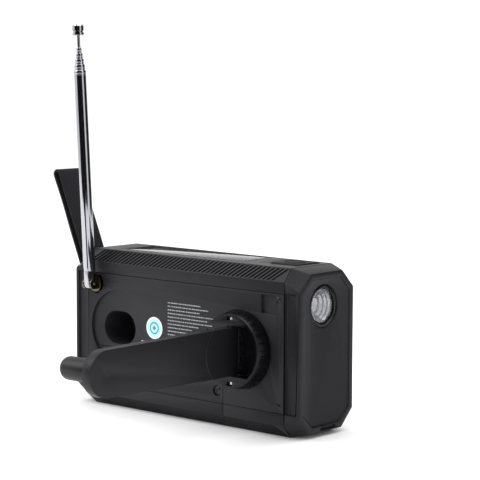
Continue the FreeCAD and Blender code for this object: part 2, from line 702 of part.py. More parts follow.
# ---------------------------------------------------------------- gears
def gear_outline(teeth, module, phase_degrees, centre, y):
    """A toothed outline in XZ: flat-topped teeth, slimmed so that a meshing pair runs with backlash."""
    pitch = teeth * module / 2
    outer, root = pitch + 0.9 * module, pitch - 1.2 * module
    step = 2 * math.pi / teeth
    shape = ((root, -0.31), (pitch, -0.19), (outer, -0.08), (outer, 0.08), (pitch, 0.19), (root, 0.31))
    points = []
    for tooth in range(teeth):
        for radius, share in shape:
            angle = math.radians(phase_degrees) + (tooth + share) * step
            points.append(FreeCAD.Vector(centre[0] + radius * math.cos(angle), y,
                                         centre[1] + radius * math.sin(angle)))
    return Part.makePolygon(points + points[:1])


def gear(teeth, module, phase_degrees, centre, low, high, bore):
    """A spur gear about an axis along Y."""
    blank = Part.Face(gear_outline(teeth, module, phase_degrees, centre,
                                   low)).extrude(FreeCAD.Vector(0, high - low, 0))
    if not bore:
        return blank
    hole = Part.makeCylinder(bore, high - low + 2, FreeCAD.Vector(centre[0], low - 1, centre[1]),
                             FreeCAD.Vector(0, 1, 0))
    return blank.cut(hole)


def gear_train():
    """The crank's gear, a two-step idler and the generator's pinion, in mesh, and the plate they run on."""
    size = {alias: number(f"dims.{alias}") for alias in SIZES}
    teeth = {key: int(round(size[key])) for key in
             ("drive_teeth", "idler_small_teeth", "idler_large_teeth", "pinion_teeth")}
    coarse, fine, slack = size["coarse_module"], size["fine_module"], size["gear_backlash"]
    hub = (number(HUB_X), number(HUB_Z))
    first = coarse * (teeth["drive_teeth"] + teeth["idler_small_teeth"]) / 2 + slack
    second = fine * (teeth["idler_large_teeth"] + teeth["pinion_teeth"]) / 2 + slack
    to_idler, to_pinion = size["idler_angle"], size["pinion_angle"]
    idler = (hub[0] + first * math.cos(math.radians(to_idler)),
             hub[1] + first * math.sin(math.radians(to_idler)))
    rotor = (idler[0] + second * math.cos(math.radians(to_pinion)),
             idler[1] + second * math.sin(math.radians(to_pinion)))

    plate_back = number(PLATE_BACK)
    fine_low = plate_back + size["gear_stand_off"]
    fine_high = fine_low + size["fine_gear_thickness"]
    coarse_low = fine_high + size["gear_stand_off"]
    coarse_high = coarse_low + size["gear_thickness"]
    pin_gap = size["idler_pin_radius"] + size["running_gap"]

    def add(name, shape):
        feature = doc.addObject("Part::Feature", name)
        feature.Shape = shape
        feature.Placement = FreeCAD.Placement()
        return piece(feature, name)

    drive = gear(teeth["drive_teeth"], coarse, to_idler, hub, coarse_low, coarse_high,
                 size["shaft_radius"])
    add("drive_gear", drive)
    small = gear(teeth["idler_small_teeth"], coarse, to_idler + 180 + 180 / teeth["idler_small_teeth"],
                 idler, fine_high, coarse_high, pin_gap)
    large = gear(teeth["idler_large_teeth"], fine, to_pinion, idler, fine_low, fine_high, pin_gap)
    add("idler_gear", large.fuse(small).removeSplitter())
    pinion = gear(teeth["pinion_teeth"], fine, to_pinion + 180 + 180 / teeth["pinion_teeth"],
                  rotor, fine_low, fine_high, 0)
    shaft = Part.makeCylinder(size["rotor_shaft_radius"], fine_low - plate_back + size["plate_thickness"],
                              FreeCAD.Vector(rotor[0], plate_back - size["plate_thickness"], rotor[1]),
                              FreeCAD.Vector(0, 1, 0))
    add("generator_pinion", pinion.fuse(shaft).removeSplitter())

    plate_front = f"{PLATE_BACK} - dims.plate_thickness"
    through = (f"{plate_front} - {PAST}", f"{PLATE_BACK} + {PAST}")
    plate_x, plate_z = f"{HUB_X} - dims.plate_overhang", f"{HUB_Z} - dims.plate_overhang"
    far_x, far_z = f"{plate_x} + dims.plate_length", f"{plate_z} + dims.plate_height"
    plate = block("gear_plate_blank", (plate_x, far_x), (plate_front, PLATE_BACK), (plate_z, far_z))
    corners = ((f"{plate_x} + dims.plate_edge", f"{far_z} - dims.plate_edge"),
               (f"{far_x} - dims.plate_edge", f"{far_z} - dims.plate_edge"),
               (f"{far_x} - dims.plate_edge", f"{plate_z} + 2 * dims.plate_edge"))
    posts = [rod(f"gear_plate_post_{i}", "y", corner, (plate_front, INNER_BACK), "dims.post_radius")
             for i, corner in enumerate(corners)]
    piece(cut("gear_plate", fuse("gear_plate_solid", plate, *posts),
              rod("gear_plate_shaft_bore", "y", hub, through, "dims.shaft_radius + dims.running_gap"),
              rod("gear_plate_rotor_bore", "y", rotor, through, "dims.rotor_bearing_radius")),
              "gear_plate")
    piece(rod("idler_pin", "y", idler, (PLATE_BACK, str(coarse_high + size["gear_stand_off"] / 2)),
              "dims.idler_pin_radius"), "idler_pin")
    piece(rod("generator", "y", rotor, (f"{plate_front} - dims.generator_length", plate_front),
              "dims.generator_radius"), "generator")
    return idler, rotor


# ---------------------------------------------------------------- aerial
def leaning(obj):
    """Turns an aerial piece, drawn upright about its pivot, to the lean that it stands at."""
    obj.Placement = FreeCAD.Placement(FreeCAD.Vector(), FreeCAD.Rotation(FreeCAD.Vector(0, 1, 0), 1))
    obj.setExpression("Placement.Rotation.Angle", "dims.aerial_lean")
    return place(obj, AERIAL_X, AERIAL_Y, AERIAL_Z)


def aerial():
    """The swivel and its fork, the hinge pin, five nested tubes, and the rod with its tip."""
    seat = f"-dims.aerial_stand_off"
    piece(cut("aerial_socket",
              rod("aerial_socket_body", "y", (AERIAL_X, AERIAL_Z),
                  (f"{BACK} - dims.socket_length", f"{BACK} - dims.wall / 2"),
                  "dims.socket_radius"),
              rod("aerial_socket_bore", "y", (AERIAL_X, AERIAL_Z),
                  (f"{BACK} - dims.socket_length - {PAST}", f"{BACK} + {PAST}"),
                  "dims.swivel_radius + dims.running_gap")), "aerial_socket")

    flange_low = f"{seat} - dims.wall / 2 + dims.swivel_gap"
    flange_high = f"{seat} + dims.swivel_flange_height"
    inner = "dims.tongue_thickness / 2 + dims.cheek_gap"
    outer = f"{inner} + dims.cheek_thickness"
    parts = [
        rod("swivel_stem", "y", ("0", "0"), (f"{seat} - dims.socket_length", flange_high),
            "dims.swivel_radius"),
        rod("swivel_flange", "y", ("0", "0"), (flange_low, flange_high), "dims.swivel_flange"),
    ]
    for side, (low, high) in (("left", (inner, outer)), ("right", (f"-({outer})", f"-({inner})"))):
        parts.append(block(f"swivel_cheek_{side}", (low, high), (f"{flange_high} - dims.seam", "0"),
                           middle("0", "2 * dims.eye_radius")))
        parts.append(rod(f"swivel_ear_{side}", "x", ("0", "0"), (low, high), "dims.eye_radius"))
    pin_hole = rod("swivel_pin_hole", "x", ("0", "0"), middle("0", f"2 * ({outer}) + 2 * {PAST}"),
                   "dims.aerial_pin_radius")
    piece(leaning(cut("aerial_swivel", fuse("aerial_swivel_solid", *parts), pin_hole)), "aerial_swivel")
    piece(leaning(fuse("aerial_pin",
                       rod("aerial_pin_shank", "x", ("0", "0"),
                           (f"-({outer}) - dims.aerial_pin_end", outer),
                           "dims.aerial_pin_radius"),
                       rod("aerial_pin_head", "x", ("0", "0"),
                           (outer, f"{outer} + dims.aerial_pin_head_height"),
                           "dims.aerial_pin_head_radius"))),
          "aerial_pin")

    foot = "dims.aerial_foot"
    tongue = fuse("aerial_tongue",
                  rod("aerial_eye", "x", ("0", "0"), middle("0", "dims.tongue_thickness"),
                      "dims.eye_radius - dims.cheek_gap / 2"),
                  block("aerial_neck", middle("0", "dims.tongue_thickness"),
                        middle("0", "2 * dims.eye_radius - dims.cheek_gap"),
                        ("0", f"{foot} - dims.aerial_neck_gap")),
                  rod("aerial_outer_tube", "z", ("0", "0"),
                      (f"{foot} - dims.aerial_foot_overlap", "dims.aerial_tube_top"),
                      "dims.aerial_radius"))
    bore = rod("aerial_tube_1_bore", "z", ("0", "0"), (foot, f"dims.aerial_tube_top + {PAST}"),
               "dims.aerial_radius - dims.aerial_step + dims.running_gap")
    eye_bore = rod("aerial_eye_bore", "x", ("0", "0"), middle("0", f"dims.tongue_thickness + 2 * {PAST}"),
                   "dims.aerial_pin_radius + dims.running_gap")
    piece(leaning(cut("aerial_tube_1", tongue, bore, eye_bore)), "aerial_tube_1")
    for stage in range(2, 6):
        radius = f"dims.aerial_radius - {stage - 1} * dims.aerial_step"
        bottom = f"{foot} + {stage - 1} * dims.swivel_gap"
        top = f"dims.aerial_tube_top + {stage - 1} * dims.aerial_stage_rise"
        inner_radius = "dims.aerial_rod_radius" if stage == 5 else f"({radius} - dims.aerial_step)"
        tube = rod(f"aerial_tube_{stage}_wall", "z", ("0", "0"), (bottom, top), radius)
        hole = rod(f"aerial_tube_{stage}_bore", "z", ("0", "0"), (f"{bottom} - {PAST}", f"{top} + {PAST}"),
                   f"{inner_radius} + dims.running_gap")
        piece(leaning(cut(f"aerial_tube_{stage}", tube, hole)), f"aerial_tube_{stage}")
    tip_top = "dims.aerial_rod_top + dims.aerial_tip_length"
    rod_end = "dims.aerial_rod_top + dims.aerial_tip_length / 2"
    piece(leaning(fuse("aerial_rod",
                       rod("aerial_rod_wire", "z", ("0", "0"),
                           (f"{foot} + 5 * dims.swivel_gap + dims.aerial_rod_foot", rod_end),
                           "dims.aerial_rod_radius"),
                       rod("aerial_rod_foot", "z", ("0", "0"),
                           (f"{foot} + 5 * dims.swivel_gap",
                            f"{foot} + 5 * dims.swivel_gap + dims.aerial_rod_foot"),
                           "dims.aerial_rod_radius * 0.8"))), "aerial_rod")
    cap = fuse("aerial_tip_solid",
               rod("aerial_tip_cap", "z", ("0", "0"),
                   ("dims.aerial_rod_top", f"{tip_top} - dims.aerial_crown"),
                   "dims.aerial_tip_radius"),
               rod("aerial_tip_crown", "z", ("0", "0"), (f"{tip_top} - dims.aerial_crown", tip_top),
                   "dims.aerial_tip_radius",
                   "dims.aerial_tip_radius - dims.aerial_crown"))
    piece(leaning(cut("aerial_tip", cap,
                      rod("aerial_tip_bore", "z", ("0", "0"), (f"dims.aerial_rod_top - {PAST}", rod_end),
                          "dims.aerial_rod_radius"))), "aerial_tip")


# ---------------------------------------------------------------- strap
def wrist_strap():
    """A flat loop of webbing round its bar, standing up and leaning outwards."""
    half = "dims.strap_loop_gap / 2"
    outer = f"({half} + dims.strap_thickness)"
    width = middle("0", "dims.strap_width")

    def loop(name, radius):
        return fuse(name,
                    block(f"{name}_sides", middle("0", f"2 * {radius}"), width,
                          ("0", "dims.strap_length")),
                    rod(f"{name}_foot", "y", ("0", "0"), width, radius),
                    rod(f"{name}_head", "y", ("0", "dims.strap_length"), width, radius))

    strap = cut("wrist_strap", loop("strap_outside", outer), loop("strap_inside", f"({half})"))
    strap.Placement = FreeCAD.Placement(FreeCAD.Vector(), FreeCAD.Rotation(FreeCAD.Vector(0, 1, 0), 1))
    strap.setExpression("Placement.Rotation.Angle", "dims.strap_lean")
    place(strap, f"{END} - dims.strap_bar_from_end", "dims.strap_offset", f"{TOP} - dims.strap_bar_drop")
    piece(strap, "wrist_strap")


# ---------------------------------------------------------------- torch
def torch():
    """Ring, lens, reflector and lamp board, front to back behind the torch hole."""
    def along(low, high):
        return f"-({END}) + {low}", f"-({END}) + {high}"

    centre = ("dims.torch_offset", TORCH_Z)
    start = "dims.face_sink + dims.torch_sink"
    lens_back = f"({start} + dims.torch_ring_length)"
    inner = "dims.torch_radius - dims.torch_ring"
    ring = cut("torch_ring", rod("torch_ring_outside", "x", centre, along(start, lens_back),
                                 "dims.torch_hole_radius"),
               rod("torch_ring_inside", "x", centre, along(f"{start} - {PAST}", f"{lens_back} + {PAST}"),
                   inner))
    piece(ring, "torch_ring")
    piece(rod("torch_lens", "x", centre, along(f"{lens_back} - dims.lens_thickness", lens_back), inner),
          "torch_lens")
    deep = f"({lens_back} + dims.reflector_depth)"
    bowl = rod("reflector_outside", "x", centre, along(lens_back, deep), "dims.torch_radius",
               "dims.reflector_throat + dims.reflector_wall")
    hollow = rod("reflector_hollow", "x", centre, along(f"{lens_back} - 0.01", f"{deep} + 0.01"),
                 "dims.torch_radius - dims.reflector_wall", "dims.reflector_throat")
    piece(cut("torch_reflector", bowl, hollow), "torch_reflector")
    piece(fuse("torch_lamp",
               rod("torch_lamp_board", "x", centre, along(deep, f"{deep} + dims.torch_board_thickness"),
                   "dims.torch_radius"),
               rod("torch_lamp_led", "x", centre, along(f"{deep} - dims.led_radius", deep),
                   "dims.led_radius")), "torch_lamp")


# ---------------------------------------------------------------- top
def solar_panel():
    """A frame let into the roof, with the cell and its clear cover inside it."""
    x, y = middle(SOLAR_X, "dims.solar_length"), middle("-dims.solar_offset", "dims.solar_width")
    inner_x = middle(SOLAR_X, "dims.solar_length - 2 * dims.solar_border")
    inner_y = middle("-dims.solar_offset", "dims.solar_width - 2 * dims.solar_border")
    floor = f"{TOP} - dims.solar_depth"
    piece(cut("solar_frame", block("solar_frame_blank", x, y, (floor, TOP)),
              block("solar_frame_window", inner_x, inner_y, (f"{floor} - {PAST}", f"{TOP} + {PAST}"))),
              "solar_frame")
    cell_top = f"{floor} + dims.solar_cell_thickness"
    piece(block("solar_cell", inner_x, inner_y, (floor, cell_top)), "solar_cell")
    piece(block("solar_cover", inner_x, inner_y, (cell_top, f"{cell_top} + dims.solar_cover_thickness")),
          "solar_cover")


def lamp_button():
    """The square rubber button beside the solar panel."""
    low = f"{TOP} - dims.wall - dims.button_skirt - dims.button_travel"
    cap = block("lamp_button_cap", middle(LAMP_X, "dims.lamp_button_size"),
                middle("-dims.lamp_button_offset", "dims.lamp_button_size"),
                (f"{TOP} - dims.wall - dims.button_travel", f"{TOP} + dims.button_rise"))
    skirt = block("lamp_button_skirt",
                  middle(LAMP_X, "dims.lamp_button_size + 2 * dims.button_skirt_width"),
                  middle("-dims.lamp_button_offset", "dims.lamp_button_size + 2 * dims.button_skirt_width"),
                  (low, f"{TOP} - dims.wall - dims.button_gap"))
    piece(fuse("lamp_button", cap, skirt), "lamp_button")


# ---------------------------------------------------------------- front
def speaker():
    """Slotted grille, basket, paper cone and magnet."""
    centre = (SPEAKER_X, SPEAKER_Z)
    face, inside = f"-({BACK})", f"(-({BACK}) + dims.grille_thickness)"
    disc = rod("speaker_grille_disc", "y", centre, (face, inside), "dims.speaker_radius")
    pitch = number("dims.grille_bar") + number("dims.grille_slot")
    reach = number("dims.speaker_radius") - number("dims.speaker_rim")
    rows = int(reach // pitch)
    slots = []
    for row in range(-rows, rows + 1):
        half = math.sqrt(max(reach ** 2 - (abs(row) * pitch + number("dims.grille_slot") / 2) ** 2, 0))
        if half > pitch:
            slots.append(block(f"grille_slot_{row + rows}", middle(SPEAKER_X, str(2 * half)),
                               (f"{face} - {PAST}", f"{inside} + {PAST}"),
                               middle(f"({SPEAKER_Z} + {row} * (dims.grille_bar + dims.grille_slot))",
                                      "dims.grille_slot")))
    piece(cut("speaker_grille", disc, *slots), "speaker_grille")
    rim_low = f"(-({BACK}) + dims.wall)"
    rim_high = f"({rim_low} + dims.grille_bar)"
    deep = f"({rim_low} + dims.speaker_depth)"
    rim = rod("speaker_rim", "y", centre, (rim_low, rim_high), "dims.speaker_radius + dims.speaker_lip")
    bowl = rod("speaker_bowl", "y", centre, (rim_high, deep), "dims.speaker_radius - dims.speaker_lip",
               "dims.magnet_radius")
    hollow = rod("speaker_hollow", "y", centre, (rim_low, f"{deep} - dims.cone_thickness"),
                 "dims.speaker_radius - dims.speaker_rim", "dims.magnet_radius * 0.8")
    piece(cut("speaker_basket", fuse("speaker_basket_solid", rim, bowl), hollow), "speaker_basket")
    cone = rod("speaker_cone_outside", "y", centre, (rim_low, f"{deep} - dims.cone_thickness"),
               "dims.speaker_radius - dims.speaker_rim", "dims.magnet_radius * 0.8")
    inner = rod("speaker_cone_inside", "y", centre,
                (f"{rim_low} - dims.cone_thickness", f"{deep} - 2 * dims.cone_thickness"),
                "dims.speaker_radius - dims.speaker_rim", "dims.magnet_radius * 0.8")
    piece(cut("speaker_cone", cone, inner), "speaker_cone")
    piece(rod("speaker_magnet", "y", centre, (deep, f"{deep} + dims.magnet_length"), "dims.magnet_radius"),
          "speaker_magnet")


def dial():
    """The tuning window in the front wall, its scale, and the pointer between them."""
    x, z = middle(DIAL_X, "dims.dial_length"), middle(DIAL_Z, "dims.dial_height")
    window_back = f"(-({BACK}) + dims.dial_window_thickness)"
    scale_front = f"({window_back} + dims.pointer_gap)"
    scale_back = f"({scale_front} + dims.dial_scale_thickness)"
    piece(block("dial_window", x, (f"-({BACK})", window_back), z), "dial_window")
    width, height = "(dims.dial_length + 4)", middle(DIAL_Z, "dims.dial_height + 4")
    tray = block("dial_scale_blank", middle(DIAL_X, width), (f"dims.wall - {BACK}", scale_back), height)
    opening = block("dial_scale_hollow", middle(DIAL_X, "dims.dial_length"), (f"-({BACK})", scale_front),
                    middle(DIAL_Z, "dims.dial_height + 6"))
    piece(cut("dial_scale", tray, opening), "dial_scale")
    slack = "dims.pointer_gap / 4"
    piece(block("dial_pointer", middle(DIAL_X, "dims.pointer_width"),
                (f"{window_back} + {slack}", f"{scale_front} - {slack}"),
                middle(DIAL_Z, "dims.dial_height - 2")),
          "dial_pointer")


def front_knob(name, x, radius, part_name):
    """A turned knob on a shaft, and the part behind the panel that it turns."""
    face = f"-({BACK})"
    z = "dims.tuning_height"
    back = f"({face} - dims.front_knob_gap)"
    cap = rod(f"{name}_cap", "y", (x, z), (f"{back} - dims.front_knob_length", back), f"{radius} * 0.94",
              radius)
    pot_front = f"({BOARD_Y} - dims.pot_size / 3)"
    stem = rod(f"{name}_stem", "y", (x, z), (back, f"{pot_front} - dims.front_knob_gap"),
               "dims.front_shaft_radius")
    piece(fuse(name, cap, stem), name)
    piece(block(part_name, middle(x, "dims.pot_size"), (pot_front, BOARD_Y), middle(z, "dims.pot_size")),
          part_name)


def front_switches():
    """The round call button and the band slider."""
    face, wall = f"-({BACK})", "dims.wall"
    piece(fuse("sos_button",
               rod("sos_button_cap", "y", (SOS_X, "dims.sos_height"),
                   (f"{face} - dims.button_rise - dims.button_travel",
                    f"{face} + {wall} + dims.button_gap"), "dims.sos_radius"),
               rod("sos_button_skirt", "y", (SOS_X, "dims.sos_height"),
                   (f"{face} + {wall} + dims.button_gap",
                    f"{face} + {wall} + dims.button_gap + dims.button_skirt"),
                   "dims.sos_radius + 1.2")), "sos_button")
    knob_x, knob_z = middle(TUNING_X, "dims.band_knob_length"), middle("dims.band_height",
                                                                       "dims.band_knob_height")
    piece(fuse("band_switch",
               block("band_switch_cap", knob_x,
                     (f"{face} - dims.button_travel", f"{face} + {wall} + dims.button_gap"), knob_z),
               block("band_switch_slide", middle(TUNING_X, "dims.band_knob_length + 4"),
                     (f"{face} + {wall} + dims.button_gap",
                      f"{face} + {wall} + dims.button_gap + dims.button_skirt"),
                     middle("dims.band_height", "dims.band_knob_height + 2 * dims.band_flange"))),
                     "band_switch")


# ---------------------------------------------------------------- electronics
def electronics():
    """The circuit board, the lithium cell in its cradle, and the cell's contacts."""
    board_low = f"({BOARD_END} - dims.board_length)"
    piece(block("main_board", (board_low, BOARD_END), (BOARD_Y, f"{BOARD_Y} + dims.board_thickness"),
                middle(f"({TOP} / 2)", "dims.board_height")), "main_board")
    bottom = f"({TOP} - dims.board_height) / 2 + dims.board_edge"
    posts = []
    for x in (f"{board_low} + dims.board_edge", f"{BOARD_END} - dims.board_edge"):
        for z in (bottom, "dims.board_post_height"):
            posts.append(rod(f"board_post_{len(posts)}", "y", (x, z), (f"dims.wall - {BACK}", BOARD_Y),
                             "dims.post_radius"))
    piece(fuse("board_posts", *posts), "board_posts")
    cell_x = f"(({DOOR_LOW} + {DOOR_HIGH}) / 2)"
    cell_y = f"({BACK} - dims.cell_from_back)"
    cell_ends = middle(cell_x, "dims.cell_length")
    piece(rod("battery_cell", "x", (cell_y, "dims.cell_height"), cell_ends, "dims.cell_radius"),
          "battery_cell")
    reach = "dims.cell_radius + dims.cradle_gap"
    shell = f"{reach} + dims.cradle_wall"
    length = "dims.cell_length + 2 * dims.contact_length"
    blank = block("battery_cradle_blank", middle(cell_x, f"{length} + 2 * dims.cradle_wall"),
                  (f"{cell_y} - ({shell})", cell_y), ("dims.wall", f"dims.cell_height + {shell}"))
    hollow = block("battery_cradle_hollow", middle(cell_x, length),
                   (f"{cell_y} - ({reach})", f"{cell_y} + {PAST}"),
                   middle("dims.cell_height", f"2 * ({reach})"))
    piece(cut("battery_cradle", blank, hollow), "battery_cradle")
    plates = []
    for side, sign in (("low", "-"), ("high", "+")):
        end = f"{cell_x} {sign} (dims.cell_length / 2 + dims.contact_length / 2)"
        plates.append(block(f"battery_contact_{side}", middle(f"({end})", "dims.contact_length"),
                            middle(cell_y, "dims.cell_radius"),
                            middle("dims.cell_height", "dims.cell_radius")))
    piece(fuse("battery_contacts", *plates), "battery_contacts")


def ports():
    """Two sockets on a small board behind the aerial cap's face, and the rubber flap over them."""
    mouth, back = PORT_MOUTH, f"({PORT_MOUTH} - dims.port_depth)"
    centre = "(dims.port_bottom + dims.port_height / 2)"
    shells = []
    for i, share in enumerate(("-0.27", "0.27")):
        z = f"({centre} + dims.port_height * {share})"
        width = "dims.usb_width" if i else "dims.usb_width * 0.7"
        height = "dims.usb_height" if i else "dims.usb_height * 0.6"
        shells.append(cut(f"port_shell_{i}",
                          block(f"port_shell_{i}_outside", (back, mouth), middle("0", width),
                                middle(z, height)),
                          block(f"port_shell_{i}_inside", (f"{back} + dims.usb_floor", f"{mouth} + {PAST}"),
                                middle("0", f"{width} - 2 * dims.usb_shell"),
                                middle(z, f"{height} - 2 * dims.usb_shell"))))
    plate = block("port_plate", (f"{back} - dims.board_thickness", back),
                  (BOARD_Y, "(dims.port_width - dims.port_plate_inset) / 2"),
                  middle(centre, "dims.port_height - dims.port_plate_inset"))
    piece(fuse("usb_ports", *shells, plate), "usb_ports")

    hinge_x = f"({END} - dims.face_sink - dims.flap_hinge_radius)"
    hinge_z = "(dims.port_bottom - dims.flap_border - dims.flap_hinge_radius)"
    leaf_width = middle("0", "dims.port_width + 2 * dims.flap_border")
    piece(fuse("port_flap",
               block("port_flap_leaf", (f"{END} - dims.face_sink - dims.flap_thickness",
                                        f"{END} - dims.face_sink"), leaf_width,
                     (hinge_z, "dims.port_bottom + dims.port_height + dims.flap_border")),
               rod("port_flap_hinge", "y", (hinge_x, hinge_z), leaf_width, "dims.flap_hinge_radius")),
               "port_flap")


front_case()
rear_frame()
rear_panel()
battery_door()
torch_cap()
aerial_cap()
crank()
gear_train()
aerial()
wrist_strap()
torch()
solar_panel()
lamp_button()
speaker()
dial()
front_knob("tuning_knob", TUNING_X, "dims.tuning_radius", "tuning_gang")
front_knob("volume_knob", VOLUME_X, "dims.volume_radius", "volume_pot")
front_switches()
electronics()
ports()
doc.recompute()

# ---------------------------------------------------------------- check and write
for obj in doc.Objects:
    if "Invalid" in obj.State or "Error" in obj.State:
        raise RuntimeError(f"{obj.Name} did not recompute: {obj.State}")
for part in pieces:
    if part.Shape.isNull() or not part.Shape.isValid() or part.Shape.Volume <= 0:
        raise RuntimeError(f"{part.Label} has no valid shape")
for part in pieces:
    part.Shape.exportStep(os.path.join("parts", f"{part.Label}.step"))
print(f"{len(pieces)} pieces written")
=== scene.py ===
# %% [markdown]
# # A hand-cranked emergency radio
# This notebook finishes the looks of a small black radio: a moulded case with ribbed chamfers, a folding
# crank, a chrome telescopic aerial, a torch at one end and a webbing wrist strap at the other. The
# engineering model is loaded first as a fixed frame. It already has every part at its real size and place,
# so each piece made here takes its place from that frame, and rides on the same moving body.

# %% Load the frame
import json
import math
import random

import bmesh
import bpy
from mathutils import Matrix, Vector

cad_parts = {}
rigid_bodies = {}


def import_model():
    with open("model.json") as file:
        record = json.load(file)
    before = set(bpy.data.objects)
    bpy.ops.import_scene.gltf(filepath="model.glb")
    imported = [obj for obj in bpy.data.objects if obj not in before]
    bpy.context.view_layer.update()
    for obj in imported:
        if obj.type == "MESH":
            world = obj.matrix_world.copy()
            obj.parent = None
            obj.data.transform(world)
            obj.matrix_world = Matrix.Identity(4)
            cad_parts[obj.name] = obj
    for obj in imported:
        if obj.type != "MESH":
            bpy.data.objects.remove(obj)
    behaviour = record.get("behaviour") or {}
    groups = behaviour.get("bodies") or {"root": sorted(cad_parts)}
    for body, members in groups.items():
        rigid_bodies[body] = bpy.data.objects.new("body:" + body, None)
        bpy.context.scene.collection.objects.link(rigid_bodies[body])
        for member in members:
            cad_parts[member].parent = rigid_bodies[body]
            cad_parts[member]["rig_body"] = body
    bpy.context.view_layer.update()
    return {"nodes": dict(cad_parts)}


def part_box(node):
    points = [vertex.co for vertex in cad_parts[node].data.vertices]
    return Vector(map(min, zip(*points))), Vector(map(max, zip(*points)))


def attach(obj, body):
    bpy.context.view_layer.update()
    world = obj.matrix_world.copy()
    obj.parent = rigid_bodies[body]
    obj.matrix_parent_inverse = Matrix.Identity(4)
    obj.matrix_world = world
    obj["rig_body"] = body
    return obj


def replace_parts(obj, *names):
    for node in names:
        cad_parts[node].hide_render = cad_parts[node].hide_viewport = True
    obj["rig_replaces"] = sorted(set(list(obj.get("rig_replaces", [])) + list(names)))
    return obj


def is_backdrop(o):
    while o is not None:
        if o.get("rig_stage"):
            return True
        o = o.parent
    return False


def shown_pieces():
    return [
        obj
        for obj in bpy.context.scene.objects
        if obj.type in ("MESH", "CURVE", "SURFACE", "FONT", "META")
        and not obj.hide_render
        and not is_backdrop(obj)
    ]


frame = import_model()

slot_of = {name: node.data.materials[0].name for name, node in frame["nodes"].items()}
MM = 0.001

# %% [markdown]
# ## Camera and studio
# The radio stands on a white sweep and is seen from behind, a little above, through a long lens. The camera
# is placed by the direction it looks in and the point on its line that is nearest to the case.

# %% Camera
camera = bpy.data.objects.new("camera", bpy.data.cameras.new("camera"))
bpy.context.scene.collection.objects.link(camera)
bpy.context.scene.camera = camera
HEADING, DROP, ROLL = math.radians(138.27), math.radians(5.85), math.radians(0.19)
REACH, LENS_MM, SENSOR_MM = 0.8977, 135.54, 36.0
look = Vector((math.sin(HEADING) * math.cos(DROP), math.cos(HEADING) * math.cos(DROP), -math.sin(DROP)))
aim = Vector((-8.08, -13.66, 87.0)) * MM
level = look.to_track_quat("-Z", "Y").to_matrix()
camera.location = aim - look * REACH
camera.rotation_euler = (level @ Matrix.Rotation(ROLL, 3, "Z")).to_euler()
camera.data.lens, camera.data.sensor_width = LENS_MM, SENSOR_MM
print("camera at", camera.location)

# %% [markdown]
# A white floor and a white surround give the bright ground. Black plastic under them would look grey,
# because it mirrors them, so a studio puts up dark cards beside the camera. The cards here are seen only by
# reflections: they shape the highlights in the chrome and the plastic, and never show in a picture.

# %% Operators on one object
def deselect():
    """Leaves edit mode and selects nothing."""
    if bpy.context.mode != "OBJECT":
        bpy.ops.object.mode_set(mode="OBJECT")
    bpy.ops.object.select_all(action="DESELECT")


def pick(piece):
    """Makes one object the selected and active one."""
    deselect()
    piece.select_set(True)
    bpy.context.view_layer.objects.active = piece
    return piece


def settle(piece):
    """Moves an object's place, turn and scale into its mesh."""
    pick(piece)
    bpy.ops.object.transform_apply(location=True, rotation=True, scale=True)
    return piece


def modify(piece, kind, **settings):
    """Adds one modifier, sets it and applies it."""
    pick(piece)
    modifier = piece.modifiers.new(kind.lower(), kind)
    for name, value in settings.items():
        setattr(modifier, name, value)
    bpy.ops.object.modifier_apply(modifier=modifier.name)
    return piece


def joined(pieces, name, active=0):
    """Joins several objects into one of that name. The active one comes first in the mesh."""
    deselect()
    for piece in pieces:
        piece.select_set(True)
    bpy.context.view_layer.objects.active = pieces[active]
    bpy.ops.object.join()
    made = bpy.context.object
    made.name = name
    return made


# %% Floor, surround and cards
FLOOR_SIZE, FLOOR_DROP, SURROUND_STRENGTH = 80.0, 0.0001, 1.08
deselect()
bpy.ops.mesh.primitive_plane_add(size=FLOOR_SIZE, location=(0, 0, -FLOOR_DROP))
floor = bpy.context.object
floor.name = "floor"
floor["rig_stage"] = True

world = bpy.data.worlds.new("surround")
bpy.context.scene.world = world
world.use_nodes = True
background = world.node_tree.nodes["Background"]
background.inputs["Color"].default_value = (1.0, 1.0, 1.0, 1.0)
background.inputs["Strength"].default_value = SURROUND_STRENGTH
bpy.context.scene.view_settings.view_transform = "Standard"


def card(name, size, place, colour):
    """A stage card that faces the radio and shows only in reflections."""
    deselect()
    bpy.ops.mesh.primitive_plane_add(size=1.0, location=place)
    plane = bpy.context.object
    plane.name = name
    plane.rotation_euler = Vector((-place[0], -place[1], 0)).to_track_quat("Z", "Y").to_euler()
    plane.scale = (size[0], size[1], 1)
    for ray in ("visible_camera", "visible_diffuse", "visible_shadow", "visible_transmission"):
        setattr(plane, ray, False)
    material = bpy.data.materials.new(name)
    material.use_nodes = True
    shader = material.node_tree.nodes["Principled BSDF"]
    shader.inputs["Base Color"].default_value = (*colour, 1)
    shader.inputs["Specular IOR Level"].default_value = 0.0
    plane.data.materials.append(material)
    plane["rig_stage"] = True
    return plane


def softbox(name, size, place, power):
    """A square area light that points at the radio."""
    data = bpy.data.lights.new(name, "AREA")
    data.energy, data.size = power, size
    light = bpy.data.objects.new(name, data)
    bpy.context.scene.collection.objects.link(light)
    light.location = place
    light.rotation_euler = (Vector((0, 0, 0.05)) - light.location).to_track_quat("-Z", "Y").to_euler()
    return light


def card_wall(name, first, last, colour):
    """Tall cards side by side on an arc round the radio, between two angles from +X."""
    count = round((last - first) / CARD_SPAN)
    for number in range(count):
        angle = math.radians(first + (last - first) * (number + 0.5) / count)
        place = (CARD_REACH * math.cos(angle), CARD_REACH * math.sin(angle), CARD_HEIGHT)
        card(f"{name}_{number}", CARD_SIZE, place, colour)


